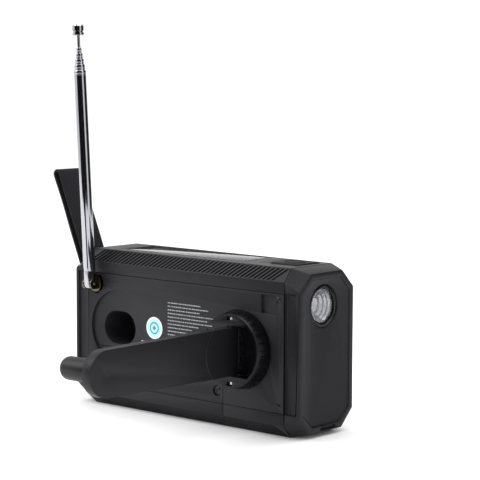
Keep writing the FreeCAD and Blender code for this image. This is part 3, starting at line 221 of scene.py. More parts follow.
CARD_REACH, CARD_SPAN, CARD_SIZE, CARD_HEIGHT = 0.75, 18, (0.28, 1.1), 0.52
card_wall("card_camera", 60, 168, (0.010, 0.010, 0.012))
card_wall("card_end", 205, 281, (0.020, 0.020, 0.022))
softbox("key", 0.9, (0.75, 0.85, 1.05), 9.0)
softbox("top", 1.1, (-0.2, -0.2, 1.3), 7.0)

# %% [markdown]
# ## Shader sums as Python
# A finish is mostly sums on noise: "0.45 plus a tenth of the cloudy noise". `Value` wraps one socket, so
# that such a sum can be written as it reads, and `Finish` starts a material and makes every other node
# through one method.

# %% Value and Finish
class Value:
    """One output socket of a finish. Arithmetic on it adds Math nodes."""

    def __init__(self, finish, socket):
        self.finish, self.socket = finish, socket

    def math(self, operation, *others):
        inputs = dict(enumerate((self,) + others))
        return self.finish.node("ShaderNodeMath", inputs, {"operation": operation})

    def __add__(self, other):
        return self.math("ADD", other)

    def __mul__(self, other):
        return self.math("MULTIPLY", other)

    def __sub__(self, other):
        return self.math("SUBTRACT", other)

    def __rsub__(self, other):
        return (self * -1.0) + other

    def __gt__(self, other):
        return self.math("GREATER_THAN", other)

    __radd__, __rmul__ = __add__, __mul__

    def clamp(self):
        return self.finish.node("ShaderNodeClamp", {"Value": self})


class Finish:
    """A procedural material for one finish of the radio."""

    def __init__(self, name, **constants):
        self.material = bpy.data.materials.new(name)
        self.material.use_nodes = True
        self.tree = self.material.node_tree
        self.shader = self.tree.nodes["Principled BSDF"]
        self.place = self.node("ShaderNodeTexCoord", output="Object")
        for socket, value in constants.items():
            self.shader.inputs[socket.replace("_", " ")].default_value = value

    def feed(self, socket, value):
        """Links a Value to a socket, or sets the socket to a number or a colour."""
        if isinstance(value, Value):
            self.tree.links.new(value.socket, socket)
        elif hasattr(value, "__len__") and len(socket.default_value) == 4:
            socket.default_value = (*value[:3], 1.0)
        else:
            socket.default_value = value

    def node(self, kind, inputs=None, settings=None, output=0):
        """Adds a node: its settings first, then its sockets."""
        made = self.tree.nodes.new(kind)
        for name, value in (settings or {}).items():
            setattr(made, name, value)
        for name, value in (inputs or {}).items():
            self.feed(made.inputs[name], value)
        return Value(self, made.outputs[output])

    def noise(self, size_mm, detail=2.0, roughness=0.5, stretch=(1, 1, 1), turn=(0, 0, 0)):
        """Noise whose blots are about size_mm across, longer along an axis with a stretch over 1."""
        scale = [1 / s for s in stretch]
        place = self.node("ShaderNodeMapping", {"Vector": self.place, "Rotation": turn, "Scale": scale})
        return self.node("ShaderNodeTexNoise", {"Vector": place, "Scale": 1 / (size_mm * MM),
                                                "Detail": detail, "Roughness": roughness})

    def mix(self, share, first, second):
        """A colour between two, by a share."""
        made = self.tree.nodes.new("ShaderNodeMix")
        made.data_type = "RGBA"
        for socket, value in ((0, share), (6, first), (7, second)):
            self.feed(made.inputs[socket], value)
        return Value(self, made.outputs[2])

    def bump(self, height, depth_mm, strength=1.0):
        """A normal from a height of 0 to 1 that stands for depth_mm."""
        return self.node("ShaderNodeBump", {"Height": height, "Distance": depth_mm * MM,
                                            "Strength": strength})

    def wear(self, **sockets):
        """Feeds the shader's own sockets and gives the material."""
        for name, value in sockets.items():
            self.feed(self.shader.inputs[name.replace("_", " ")], value)
        return self.material


# %% [markdown]
# ## Finishes
# Moulded plastic is never one flat black. The tool's spark-eroded skin gives a fine grain, the melt leaves
# slow clouds of gloss, and handling polishes some spots and scuffs others. One function makes all the black
# plastics: what changes between them is how dark, how glossy and how coarse they are.

# %% Moulded plastics
def moulded(name, colour, roughness, grain_mm=0.35, grain_depth=0.012, level=0.35, scuff=0.06, coat=0.0):
    finish = Finish(name, Specular_IOR_Level=level, Coat_Weight=coat, Coat_Roughness=0.12)
    cloud = finish.noise(14.0, 3.0)
    smudge = finish.noise(5.0, 4.0, 0.6)
    skin = finish.noise(grain_mm, 2.0, 0.6)
    fine = finish.noise(grain_mm * 0.4, 1.0)
    lighter = [min(c * 1.55 + 0.002, 1.0) for c in colour]
    tone = (cloud * 0.7 + skin * 0.5 - 0.1).clamp()
    scuffs = (finish.noise(1.1, 5.0, 0.7, stretch=(9, 1, 2)) - 0.62).clamp() * 2.0
    gloss = (roughness - scuff / 2) + smudge * scuff + skin * 0.05 + scuffs * 0.2
    return finish.wear(Base_Color=finish.mix((tone + scuffs * 0.3).clamp(), colour, lighter),
                       Roughness=gloss.clamp(),
                       Normal=finish.bump(skin * 0.7 + fine * 0.3, grain_depth))


looks = {
    "case_black": moulded("case_black", (0.0050, 0.0050, 0.0068), 0.46, 0.32, 0.010, 0.27),
    # painted light: panel_black is a lighter copy of case_black, as the back panel is lit from the camera
    # side; its rougher, coarser matte skin is real.
    "panel_black": moulded("panel_black", (0.0075, 0.0073, 0.0098), 0.52, 0.28, 0.014, 0.29),
    "hub_black": moulded("hub_black", (0.0016, 0.0016, 0.0024), 0.24, 0.40, 0.004, 0.20),
    "arm_black": moulded("arm_black", (0.0040, 0.0040, 0.0054), 0.42, 0.36, 0.008, 0.27),
    "knob_black": moulded("knob_black", (0.0042, 0.0042, 0.0056), 0.38, 0.40, 0.006, 0.32),
    "rubber_black": moulded("rubber_black", (0.0075, 0.0075, 0.0080), 0.72, 0.22, 0.020, 0.30),
    "gear_plastic": moulded("gear_plastic", (0.62, 0.60, 0.54), 0.42, 0.8, 0.006, 0.45, 0.05),
    "button_red": moulded("button_red", (0.42, 0.018, 0.012), 0.34, 0.5, 0.006, 0.5, 0.05, 0.3),
    "pointer_red": moulded("pointer_red", (0.50, 0.020, 0.012), 0.32, 0.6, 0.004, 0.5, 0.04, 0.3),
    "dial_white": moulded("dial_white", (0.60, 0.60, 0.57), 0.48, 0.5, 0.003, 0.4, 0.05),
}
print("moulded finishes:", len(looks))

# %% [markdown]
# Metals show through their reflections, so their finish is a roughness story. Drawn and plated tube has
# hair-fine lines along its length and a little haze from fingers; turned brass and pressed steel are
# duller.

# %% Metals
def metal(name, colour, roughness, line_mm=0.12, stretch=(1, 1, 40), haze=0.10, depth=0.002):
    finish = Finish(name, Metallic=1.0)
    lines = finish.noise(line_mm, 2.0, 0.6, stretch=stretch)
    fingers = finish.noise(6.0, 4.0, 0.65)
    darker = [c * 0.78 for c in colour]
    stain = (finish.noise(2.5, 5.0, 0.7) - 0.5).clamp()
    return finish.wear(Base_Color=finish.mix(stain, colour, darker),
                       Roughness=(roughness + (fingers - 0.35).clamp() * haze + lines * 0.04).clamp(),
                       Normal=finish.bump(lines, depth))


looks["steel_bright"] = metal("steel_bright", (0.46, 0.46, 0.49), 0.06)
looks["steel_plain"] = metal("steel_plain", (0.52, 0.52, 0.54), 0.26, 0.2, (1, 1, 6), 0.16, 0.004)
looks["brass"] = metal("brass", (0.13, 0.105, 0.075), 0.20, 0.15, (1, 8, 1), 0.14, 0.003)
looks["reflector_metal"] = metal("reflector_metal", (0.30, 0.30, 0.33), 0.04, 0.5, (1, 1, 1), 0.05, 0.0008)
print("metal finishes:", list(looks)[-4:])

# %% [markdown]
# The rest are the single-use finishes: woven webbing, clear lens plastic, silicon with its printed silver
# fingers, a fibreglass board, speaker paper and the printed cell wrap. Each one carries the detail that
# names it.

# %% Webbing, clear plastic and silicon
WAVES_PER_UNIT = 3.2


def weave(finish, across_mm, turn):
    """Over-and-under threads: two waves that cross, in a plane that is turned to lie in the strap."""
    place = finish.node("ShaderNodeMapping", {"Vector": finish.place, "Rotation": turn})
    waves = []
    for direction in ("Y", "Z"):
        bands = {"wave_type": "BANDS", "bands_direction": direction, "wave_profile": "SIN"}
        scale = 1 / (across_mm * MM) / WAVES_PER_UNIT
        waves.append(finish.node("ShaderNodeTexWave", {"Vector": place, "Scale": scale}, bands, "Fac"))
    warp, weft = waves
    return (warp * 0.62 + weft * 0.38 + warp * weft * 0.25).clamp()


def webbing(name, colour, across_mm=1.1, turn=(0, 0, 0)):
    finish = Finish(name, Specular_IOR_Level=0.25)
    threads = weave(finish, across_mm, turn)
    fuzz = finish.noise(0.12, 3.0, 0.7)
    fade = finish.noise(9.0, 3.0)
    lighter = [c * 2.3 + 0.004 for c in colour]
    tone = (threads * 0.55 + fuzz * 0.35 + fade * 0.25 - 0.1).clamp()
    return finish.wear(Base_Color=finish.mix(tone, colour, lighter),
                       Roughness=(0.78 + fuzz * 0.15).clamp(),
                       Normal=finish.bump(threads * 0.8 + fuzz * 0.2, 0.16))


STRAP_LEAN = math.radians(23.3)
looks["webbing_black"] = webbing("webbing_black", (0.0060, 0.0060, 0.0070), turn=(0, -STRAP_LEAN, 0))
looks["webbing_thread"] = webbing("webbing_thread", (0.020, 0.020, 0.022), 0.4)


def clear_plastic(name):
    finish = Finish(name, Transmission_Weight=0.96, IOR=1.46)
    haze = finish.noise(3.0, 4.0, 0.6)
    marks = finish.noise(0.5, 3.0, 0.6, stretch=(1, 10, 1))
    blur = (0.015 + (haze - 0.45).clamp() * 0.12 + (marks - 0.6).clamp() * 0.3).clamp()
    return finish.wear(Base_Color=finish.mix(haze * 0.4, (0.97, 0.98, 0.98), (0.90, 0.92, 0.93)),
                       Roughness=blur, Normal=finish.bump(marks, 0.002))


looks["clear_plastic"] = clear_plastic("clear_plastic")


def silicon(name):
    """Blue-black cells in six strips, with fine silver fingers across them."""
    finish = Finish(name, Coat_Weight=0.6, Coat_Roughness=0.06)
    axes = finish.tree.nodes.new("ShaderNodeSeparateXYZ")
    finish.tree.links.new(finish.place.socket, axes.inputs[0])
    along, across = Value(finish, axes.outputs["X"]), Value(finish, axes.outputs["Y"])
    fingers = (across * (1 / (1.6 * MM))).math("FRACT") > 0.91
    strips = (along * (1 / (13.07 * MM))).math("FRACT") > 0.955
    crystals = finish.node("ShaderNodeTexVoronoi", {"Vector": finish.place, "Scale": 260.0}, output="Color")
    grain = finish.node("ShaderNodeRGBToBW", {"Color": crystals})
    body = finish.mix(grain, (0.006, 0.010, 0.030), (0.016, 0.026, 0.070))
    lines = finish.mix((fingers * 0.8 + strips).clamp(), body, (0.34, 0.35, 0.37))
    return finish.wear(Base_Color=lines, Roughness=(0.24 + grain * 0.12).clamp(),
                       Normal=finish.bump(fingers, 0.02))


looks["solar_silicon"] = silicon("solar_silicon")

# %% Board, paper, wrap and lamp
def board(name):
    finish = Finish(name, Specular_IOR_Level=0.45)
    tracks = finish.node("ShaderNodeTexBrick", {"Vector": finish.place, "Scale": 260.0,
                                                "Mortar Size": 0.012}, output="Fac")
    mask = finish.noise(1.6, 2.0)
    return finish.wear(Base_Color=finish.mix((tracks * 0.6 + mask * 0.3).clamp(), (0.010, 0.075, 0.030),
                                             (0.035, 0.150, 0.070)),
                       Roughness=(0.30 + mask * 0.12).clamp(), Normal=finish.bump(tracks, 0.02))


def paper(name):
    finish = Finish(name, Specular_IOR_Level=0.2)
    fibre = finish.noise(0.35, 5.0, 0.7, stretch=(3, 1, 1))
    return finish.wear(Base_Color=finish.mix(fibre, (0.010, 0.010, 0.010), (0.030, 0.029, 0.027)),
                       Roughness=(0.80 + fibre * 0.12).clamp(), Normal=finish.bump(fibre, 0.05))


def cell_wrap(name):
    finish = Finish(name, Coat_Weight=0.3, Coat_Roughness=0.15)
    crease = finish.noise(3.0, 5.0, 0.6, stretch=(6, 1, 1))
    return finish.wear(Base_Color=finish.mix(crease, (0.020, 0.110, 0.300), (0.035, 0.170, 0.420)),
                       Roughness=(0.26 + crease * 0.14).clamp(), Normal=finish.bump(crease, 0.03))


def lamp(name):
    finish = Finish(name, Specular_IOR_Level=0.5)
    phosphor = finish.noise(0.3, 3.0)
    return finish.wear(Base_Color=finish.mix(phosphor, (0.80, 0.78, 0.60), (0.90, 0.86, 0.50)),
                       Roughness=(0.30 + phosphor * 0.15).clamp(), Normal=finish.bump(phosphor, 0.01))


looks["board_green"] = board("board_green")
looks["speaker_paper"] = paper("speaker_paper")
looks["cell_wrap"] = cell_wrap("cell_wrap")
looks["lamp_white"] = lamp("lamp_white")


def ink(name, colour, level=0.3):
    """A printed or painted film: even colour, thin at a few spots."""
    finish = Finish(name, Specular_IOR_Level=level)
    thin = finish.noise(0.25, 4.0, 0.7)
    duller = [c * 0.72 for c in colour]
    return finish.wear(Base_Color=finish.mix((thin - 0.35).clamp(), colour, duller),
                       Roughness=(0.48 + thin * 0.14).clamp(), Normal=finish.bump(thin, 0.003))


looks["ink_pale"] = ink("ink_pale", (0.36, 0.37, 0.39))
looks["ink_black"] = ink("ink_black", (0.020, 0.020, 0.022))
looks["label_white"] = ink("label_white", (0.86, 0.87, 0.88), 0.4)
looks["label_pale"] = ink("label_pale", (0.50, 0.76, 0.82), 0.4)
looks["label_teal"] = ink("label_teal", (0.030, 0.330, 0.400), 0.4)
sweep = Finish("sweep_white", Specular_IOR_Level=0.2)
cloth = sweep.noise(400.0, 2.0)
whites = sweep.mix(cloth, (0.955, 0.955, 0.955), (0.975, 0.975, 0.975))
floor.data.materials.append(sweep.wear(Base_Color=whites, Roughness=(0.6 + cloth * 0.1).clamp()))
for name, node in frame["nodes"].items():
    node.data.materials[0] = looks[slot_of[name]]
print("finishes:", len(looks))

# %% [markdown]
# ## Case shells
# The six shells of the case come from the frame: their walls, pockets and holes are already exact. What a
# real moulding has and a plain solid lacks is its edges, because no tool makes a perfectly sharp corner.
# Each shell is copied, its triangles are merged back into flats, and every edge is rounded by a fraction of
# a millimetre, so that it catches a thin line of light. Boolean tools then add what is too fine for the
# frame, such as the rib slots.

# %% Shells with rounded edges
SHARP, WELD, FLAT = 32, 0.001, math.radians(0.5)


def fit(piece, body, slot, stands_for=(), look=None):
    """Gives a finished piece its look and its body, and says which frame nodes it stands for."""
    piece.data.materials.clear()
    piece.data.materials.append(looks[look or slot])
    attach(piece, body)
    if stands_for:
        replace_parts(piece, *stands_for)
    return piece


def smooth(piece, degrees=SHARP):
    pick(piece)
    bpy.ops.object.shade_smooth_by_angle(angle=math.radians(degrees))
    return piece


def cut_with(piece, *tools):
    """Cuts a piece with closed tools, and throws the tools away."""
    for tool in tools:
        modify(piece, "BOOLEAN", object=tool, operation="DIFFERENCE", solver="EXACT")
        bpy.data.objects.remove(tool)
    return piece


def round_edges(piece, width_mm, segments=2, degrees=SHARP, clamp=False):
    modify(piece, "BEVEL", width=width_mm * MM, segments=segments, limit_method="ANGLE",
           angle_limit=math.radians(degrees), use_clamp_overlap=clamp, miter_outer="MITER_ARC")
    return smooth(piece, degrees)


def shell_of(node, name, edge_mm, tools=(), segments=2, look=None, clamp=False):
    """A node's own shape with merged flats, cut by the tools, its edges rounded. It stands for the node."""
    source = frame["nodes"][node]
    copy = bpy.data.objects.new(name, source.data.copy())
    bpy.context.scene.collection.objects.link(copy)
    pick(copy)
    bpy.ops.mesh.customdata_custom_splitnormals_clear()
    bpy.ops.object.mode_set(mode="EDIT")
    bpy.ops.mesh.select_all(action="SELECT")
    bpy.ops.mesh.remove_doubles(threshold=WELD * MM)
    bpy.ops.mesh.dissolve_limited(angle_limit=FLAT)
    bpy.ops.object.mode_set(mode="OBJECT")
    cut_with(copy, *tools)
    round_edges(copy, edge_mm, segments, clamp=clamp)
    return fit(copy, source["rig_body"], slot_of[node], (node,), look)


def bar(name, low, high):
    """A box between two corners in millimetres: a tool to cut with, or a start to shape."""
    deselect()
    size, centre = (Vector(high) - Vector(low)) * MM, (Vector(high) + Vector(low)) / 2 * MM
    bpy.ops.mesh.primitive_cube_add(size=1.0, location=centre, scale=size)
    made = bpy.context.object
    made.name = name
    return settle(made)


# %% [markdown]
# ### Ribs
# The chamfers above and below the back panel are cut by a row of leaning slots, a grip that also hides sink
# marks. One slot is modelled flat as a leaning bar, an Array modifier repeats it, and the row is then laid
# on the chamfer.

# %% Rib slots
frame_low, frame_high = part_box("rear_frame")
_, case_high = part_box("front_case")
BACK, TOP = frame_high.y / MM, frame_high.z / MM
CHAMFER_DEPTH, CHAMFER_HEIGHT = BACK - case_high.y / MM, 6.3
CHAMFER = math.hypot(CHAMFER_DEPTH, CHAMFER_HEIGHT)
RIB_PITCH, RIB_SLOT, RIB_DEPTH, RIB_LEAN = 2.77, 1.15, 0.75, math.radians(43.5)
RIB_COUNT, RIB_MARGIN, RIB_EDGE = 45, 0.55, 0.16


def rib_slots(name, upper):
    """The row of slots for the upper or the lower chamfer, as one tool."""
    length = CHAMFER - 2 * RIB_MARGIN
    tool = bar(name, (-RIB_SLOT / 2, -length / 2, -RIB_DEPTH), (RIB_SLOT / 2, length / 2, RIB_DEPTH))
    side = 1 if upper else -1
    shift = math.tan(RIB_LEAN) * length * side
    pick(tool)
    bpy.ops.object.mode_set(mode="EDIT")
    bpy.ops.mesh.select_mode(type="VERT")
    bpy.ops.mesh.select_all(action="DESELECT")
    cage = bmesh.from_edit_mesh(tool.data)
    for vertex in cage.verts:
        vertex.select_set(vertex.co.y > 0)
    bmesh.update_edit_mesh(tool.data)
    bpy.ops.transform.translate(value=(shift * MM, 0, 0))
    bpy.ops.object.mode_set(mode="OBJECT")
    modify(tool, "ARRAY", count=RIB_COUNT, use_relative_offset=False, use_constant_offset=True,
           constant_offset_displace=(RIB_PITCH * MM, 0, 0))
    along = Vector((-side, 0, 0))
    up_slope = Vector((0, -CHAMFER_DEPTH, side * CHAMFER_HEIGHT)) / CHAMFER
    outward = along.cross(up_slope)
    height = TOP - CHAMFER_HEIGHT / 2 if upper else CHAMFER_HEIGHT / 2
    middle = Vector((0, BACK - CHAMFER_DEPTH / 2, height))
    start = middle - along * ((RIB_COUNT - 1) * RIB_PITCH / 2 + shift / 2)
    turn = Matrix((along, up_slope, outward)).transposed().to_4x4()
    tool.matrix_world = Matrix.Translation(start * MM) @ turn
    return settle(tool)


rear_slots = (rib_slots("upper_slots", True), rib_slots("low_slots", False))
rear = shell_of("rear_frame", "rear_frame_ribbed", RIB_EDGE, rear_slots)
door_low, door_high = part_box("battery_door")
GROOVE_FOOT, GROOVE_TOP, GROOVE_DEPTH = 11.6, 11.95, 0.4
door_groove = bar("door_groove", (door_low.x / MM - 1, BACK - GROOVE_DEPTH, GROOVE_FOOT),
                  (door_high.x / MM + 1, BACK + 1, GROOVE_TOP))
door_slots = (rib_slots("door_slots", False), door_groove)
door = shell_of("battery_door", "battery_door_ribbed", RIB_EDGE, door_slots)
print("ribbed pieces:", [(o.name, len(o.data.polygons)) for o in (rear, door)])

# %% [markdown]
# The panel, the front and the two bumper caps only need their edges. The caps are the softest: they take
# the knocks, so their corners have a radius that can be seen. The torch cap also has a small pry slot low
# on its rim.

# %% Panel, front and caps
CAP_EDGE = 0.55
shell_of("rear_panel", "rear_panel_moulded", 0.12)
shell_of("front_case", "front_case_moulded", 0.35)
pry_slot = bar("pry_slot", (-77.0, -7.0, 3.1), (-73.6, 4.0, 4.7))
shell_of("torch_cap", "torch_cap_moulded", CAP_EDGE, (pry_slot,), 3)
shell_of("aerial_cap", "aerial_cap_moulded", CAP_EDGE, (), 3)
SMALL_SHELLS = (("strap_bar", "turned", 0.2), ("port_flap", "moulded", 0.1), ("solar_frame", "moulded", 0.3),
                ("lamp_button", "moulded", 0.6), ("sos_button", "moulded", 0.5),
                ("band_switch", "moulded", 0.35), ("dial_window", "clear", 0.2),
                ("solar_cover", "clear", 0.15))
for node, made_how, edge in SMALL_SHELLS:
    shell_of(node, f"{node}_{made_how}", edge)
print("shells:", sum(1 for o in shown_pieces() if "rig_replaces" in o))

# %% [markdown]
# ## Turned parts
# Screw heads, tube ends, knobs and rings are turned on a lathe, and are easiest to draw as a half profile.
# `turned` starts from a circle and extrudes it along its axis, ring by ring, widening or narrowing each
# ring. A solid piece starts and ends on a cap; a hollow one runs up the outside, down the inside, and is
# closed.

# %% Turning a profile
AXES = {"x": Vector((1, 0, 0)), "y": Vector((0, 1, 0)), "z": Vector((0, 0, 1)), "-x": Vector((-1, 0, 0)),
        "-y": Vector((0, -1, 0))}


def turned(name, centre, axis, profile, hollow=False, sides=48):
    """A lathe piece from (along, radius) pairs in millimetres, along an axis from its centre."""
    deselect()
    along, radius = profile[0]
    bpy.ops.mesh.primitive_circle_add(vertices=sides, radius=radius * MM, location=(0, 0, along * MM),
                                      fill_type="NOTHING" if hollow else "NGON")
    made = settle(bpy.context.object)
    made.name = name
    bpy.ops.object.mode_set(mode="EDIT")
    bpy.ops.mesh.select_mode(type="EDGE" if hollow else "FACE")
    bpy.ops.mesh.select_all(action="SELECT")
    for next_along, next_radius in profile[1:] + (profile[:1] if hollow else []):
        step = (0, 0, (next_along - along) * MM)
        bpy.ops.mesh.extrude_region_move(TRANSFORM_OT_translate={"value": step})
        scale = next_radius / radius
        bpy.ops.transform.resize(value=(scale, scale, 1), center_override=(0, 0, next_along * MM))
        along, radius = next_along, next_radius
    bpy.ops.mesh.select_all(action="SELECT")
    bpy.ops.mesh.remove_doubles(threshold=WELD / 2 * MM)
    bpy.ops.mesh.normals_make_consistent(inside=False)
    bpy.ops.object.mode_set(mode="OBJECT")
    direction = AXES[axis] if isinstance(axis, str) else Vector(axis)
    made.rotation_euler = direction.to_track_quat("Z", "Y").to_euler()
    made.location = Vector(centre) * MM
    return smooth(settle(made), 28)


def screw(name, centre, radius, body, slot, stands_for, look):
    """A domed screw head with a cross recess."""
    height = radius * 0.42
    head = turned(name, centre, "y", [(-1.0, radius * 0.9), (0.0, radius), (height * 0.35, radius * 0.97),
                                      (height * 0.7, radius * 0.80), (height * 0.93, radius * 0.5),
                                      (height, radius * 0.22)], sides=40)
    long, short = radius * 0.56, radius * 0.15
    x, y, z = centre
    foot, past = y + height * 0.3, y + height + 1
    cut_with(head, bar("cross_a", (x - long, foot, z - short), (x + long, past, z + short)),
             bar("cross_b", (x - short, foot, z - long), (x + short, past, z + long)))
    return fit(round_edges(head, 0.06, 1, 40), body, slot, stands_for, look)


# %% [markdown]
# ## Screws
# Four small cross-head screws hold the back: three in the panel's corners and one in the battery door. They
# are blacked, so they show as a glint and a dark cross rather than as bright dots.

# %% Screws
looks["steel_black"] = metal("steel_black", (0.055, 0.055, 0.060), 0.30, 0.2, (1, 1, 1), 0.15, 0.004)
screws_low, screws_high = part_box("panel_screws")
PANEL_SCREW, PANEL_SCREW_SINK, DOOR_SCREW, DOOR_SCREW_SINK = 1.4, 0.15, 2.2, 1.05
screw_x = screws_high.x / MM - PANEL_SCREW
screw_high_z, screw_low_z = screws_high.z / MM - PANEL_SCREW, screws_low.z / MM + PANEL_SCREW
corners = ((-screw_x, screw_high_z), (-screw_x, screw_low_z), (screw_x, screw_low_z))
for number, (x, z) in enumerate(corners):
    screw(f"panel_screw_{number}", (x, BACK - PANEL_SCREW_SINK, z), PANEL_SCREW, "housing", "steel_plain",
          ("panel_screws",), "steel_black")
door_screw_low, door_screw_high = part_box("door_screw")
door_screw_at = (door_screw_low + door_screw_high) / 2 / MM
screw("door_screw_head", (door_screw_at.x, BACK - DOOR_SCREW_SINK, door_screw_at.z), DOOR_SCREW, "housing",
      "steel_plain", ("door_screw",), "steel_black")

# %% [markdown]
# ## Crank
# The hub is a polished disc with a pocket for the folding arm. Two notches in its face show the ends of the
# steel hinge pin. The arm is a plain paddle, softly rounded, with a raised arc where it meets the hub's rim
# when folded.

# %% Hub, arm and knob
hub_low, hub_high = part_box("crank_hub")
pin_low, pin_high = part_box("crank_hinge_pin")
hub = (hub_low + hub_high) / 2 / MM
pin_reach = (pin_high.z - pin_low.z) / 2 / MM
HINGE_Y = (pin_low.y + pin_high.y) / 2 / MM
PIN_RADIUS, PIN_GAP, PIN_SHOWN, PIN_CLEAR = 1.5, 0.15, 1.3, 0.5
notches = []
for side in (-1, 1):
    ends = sorted((hub.z + side * (pin_reach - PIN_SHOWN), hub.z + side * (pin_reach + PIN_CLEAR)))
    notches.append(bar("pin_notch", (hub.x - PIN_RADIUS - PIN_GAP, HINGE_Y, ends[0]),
                       (hub.x + PIN_RADIUS + PIN_GAP, hub_high.y / MM + 1, ends[1])))
shell_of("crank_hub", "crank_hub_polished", 0.28, notches)
shell_of("crank_arm", "crank_arm_moulded", 0.5, (), 3, clamp=True)
shell_of("crank_knob", "crank_knob_moulded", 0.3)
frame["nodes"]["crank_hinge_pin"].data.materials[0] = looks["steel_bright"]
frame["nodes"]["knob_pin"].data.materials[0] = looks["arm_black"]

ARC_RADIUS, ARC_CENTRE, ARC_WIRE, ARC_PROUD = 15.2, 5.7, 0.5, 0.16
ARC_SHOWN, ARC_SUNK = 9.6, 0.6
arm_low, arm_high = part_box("crank_arm")
for face, outward in ((arm_low.x / MM, -1), (arm_high.x / MM, 1)):
    deselect()
    centre = Vector((face - outward * (ARC_WIRE - ARC_PROUD), HINGE_Y + ARC_CENTRE, hub.z)) * MM
    bpy.ops.mesh.primitive_torus_add(major_radius=ARC_RADIUS * MM, minor_radius=ARC_WIRE * MM,
                                     major_segments=96, minor_segments=12, rotation=(0, math.pi / 2, 0),
                                     location=centre)
    arc = settle(bpy.context.object)
    arc.name = "crank_arm_arc_outer" if outward < 0 else "crank_arm_arc_inner"
    bpy.ops.object.mode_set(mode="EDIT")
    for point, normal in (((0, HINGE_Y + ARC_CENTRE + ARC_SHOWN, 0), (0, -1, 0)),
                          ((face - outward * ARC_SUNK, 0, 0), (-outward, 0, 0))):
        bpy.ops.mesh.select_all(action="SELECT")
        bpy.ops.mesh.bisect(plane_co=Vector(point) * MM, plane_no=normal, use_fill=True, clear_outer=True)
    bpy.ops.object.mode_set(mode="OBJECT")
    fit(smooth(arc), "crank_arm", "arm_black")
print("hub at", hub, "pin reach", pin_reach)

# %% [markdown]
# ## Aerial
# A telescopic aerial is a set of brass tubes, chromed, each drawn in at its top so that the next can't pull
# out. The frame has the tubes; the drawn-in ends are turned here as thin crimp rings that ride with their
# tube. The tip is a turned button with a groove, and the whole stands on a brass swivel in a black socket.

# %% Crimps, tip and swivel
AERIAL_LEAN = math.radians(3.5)
aerial_axis = Vector((math.sin(AERIAL_LEAN), 0, math.cos(AERIAL_LEAN)))
pivot_low, pivot_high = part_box("aerial_pin")
socket_low, socket_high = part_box("aerial_socket")
PIVOT = Vector(((socket_low.x + socket_high.x) / 2 / MM, (pivot_low.y + pivot_high.y) / 2 / MM,
                (socket_low.z + socket_high.z) / 2 / MM))
TUBE_TOP, STAGE_RISE, TUBE_RADIUS, TUBE_STEP, ROD_RADIUS = 107.8, 2.85, 3.0, 0.44, 0.78
for stage in range(1, 6):
    radius = TUBE_RADIUS - (stage - 1) * TUBE_STEP
    inside = (ROD_RADIUS if stage == 5 else radius - TUBE_STEP) + 0.05
    top = TUBE_TOP + (stage - 1) * STAGE_RISE
    crimp = turned(f"aerial_crimp_{stage}", PIVOT, aerial_axis,
                   [(top - 2.3, radius - 0.02), (top - 2.2, radius + 0.05), (top - 1.75, radius + 0.07),
                    (top - 1.6, radius - 0.01), (top - 1.35, radius - 0.01), (top - 1.2, radius + 0.09),
                    (top - 0.55, radius + 0.10), (top - 0.15, radius - 0.02),
                    (top + 0.12, (radius + inside) / 2), (top + 0.12, inside + 0.02),
                    (top - 0.5, inside)], hollow=True)
    fit(crimp, "aerial_base" if stage == 1 else f"aerial_stage_{stage}", "steel_bright")
    frame["nodes"][f"aerial_tube_{stage}"].data.materials[0] = looks["steel_bright"]
ROD_TOP, TIP_RADIUS, TIP_LENGTH = 125.3, 2.9, 5.8
tip = turned("aerial_tip_turned", PIVOT, aerial_axis,
             [(ROD_TOP, 1.1), (ROD_TOP + 0.05, 2.45), (ROD_TOP + 0.4, TIP_RADIUS),
              (ROD_TOP + 1.5, TIP_RADIUS), (ROD_TOP + 1.75, TIP_RADIUS - 0.45),
              (ROD_TOP + 2.15, TIP_RADIUS - 0.45),
              (ROD_TOP + 2.4, TIP_RADIUS), (ROD_TOP + 4.9, TIP_RADIUS), (ROD_TOP + 5.45, TIP_RADIUS - 0.35),
              (ROD_TOP + 5.7, TIP_RADIUS - 1.1), (ROD_TOP + TIP_LENGTH - 0.02, 0.6)])
fit(tip, "aerial_end", "steel_bright", ("aerial_tip",))
shell_of("aerial_tube_1", "aerial_tube_1_chromed", 0.22)
shell_of("aerial_swivel", "aerial_swivel_turned", 0.06)
shell_of("aerial_pin", "aerial_pin_turned", 0.2)
shell_of("aerial_socket", "aerial_socket_moulded", 0.3)
print("aerial pivot", PIVOT)

# %% [markdown]
# ## Wrist strap
# The strap is a short loop of flat nylon webbing round a steel bar. Webbing is stiff enough to stand off at
# an angle, and it is modelled directly: a tube of one wall, drawn out into a long loop, subdivided, given
# the tape's thickness, and stitched across near the bar. The weave itself is in the finish, at the tape's
# own scale.

# %% Webbing loop and stitches
strap_low, strap_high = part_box("wrist_strap")
bar_low, bar_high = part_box("strap_bar")
BAR = (bar_low + bar_high) / 2 / MM
STRAP_WIDTH, STRAP_THICK, STRAP_GAP = (strap_high.y - strap_low.y) / MM, 1.4, 2.6
STRAP_REACH, LEG_CUTS, TAPE_CLEARANCE, TAPE_EDGE = 50.0, 24, 0.2, 0.35
loop_radius = (STRAP_GAP + STRAP_THICK) / 2
deselect()
tape_width = STRAP_WIDTH - TAPE_CLEARANCE
bpy.ops.mesh.primitive_cylinder_add(vertices=32, radius=loop_radius * MM, depth=tape_width * MM,
                                    end_fill_type="NOTHING", rotation=(math.pi / 2, 0, 0))
strap = settle(bpy.context.object)
strap.name = "wrist_strap_webbing"
bpy.ops.object.mode_set(mode="EDIT")
bpy.ops.mesh.select_mode(type="VERT")
bpy.ops.mesh.select_all(action="DESELECT")
cage = bmesh.from_edit_mesh(strap.data)
for vertex in cage.verts:
    vertex.select_set(vertex.co.z > 1e-6)
bmesh.update_edit_mesh(strap.data)
bpy.ops.transform.translate(value=(0, 0, STRAP_REACH * MM))
bpy.ops.mesh.select_all(action="DESELECT")
cage = bmesh.from_edit_mesh(strap.data)
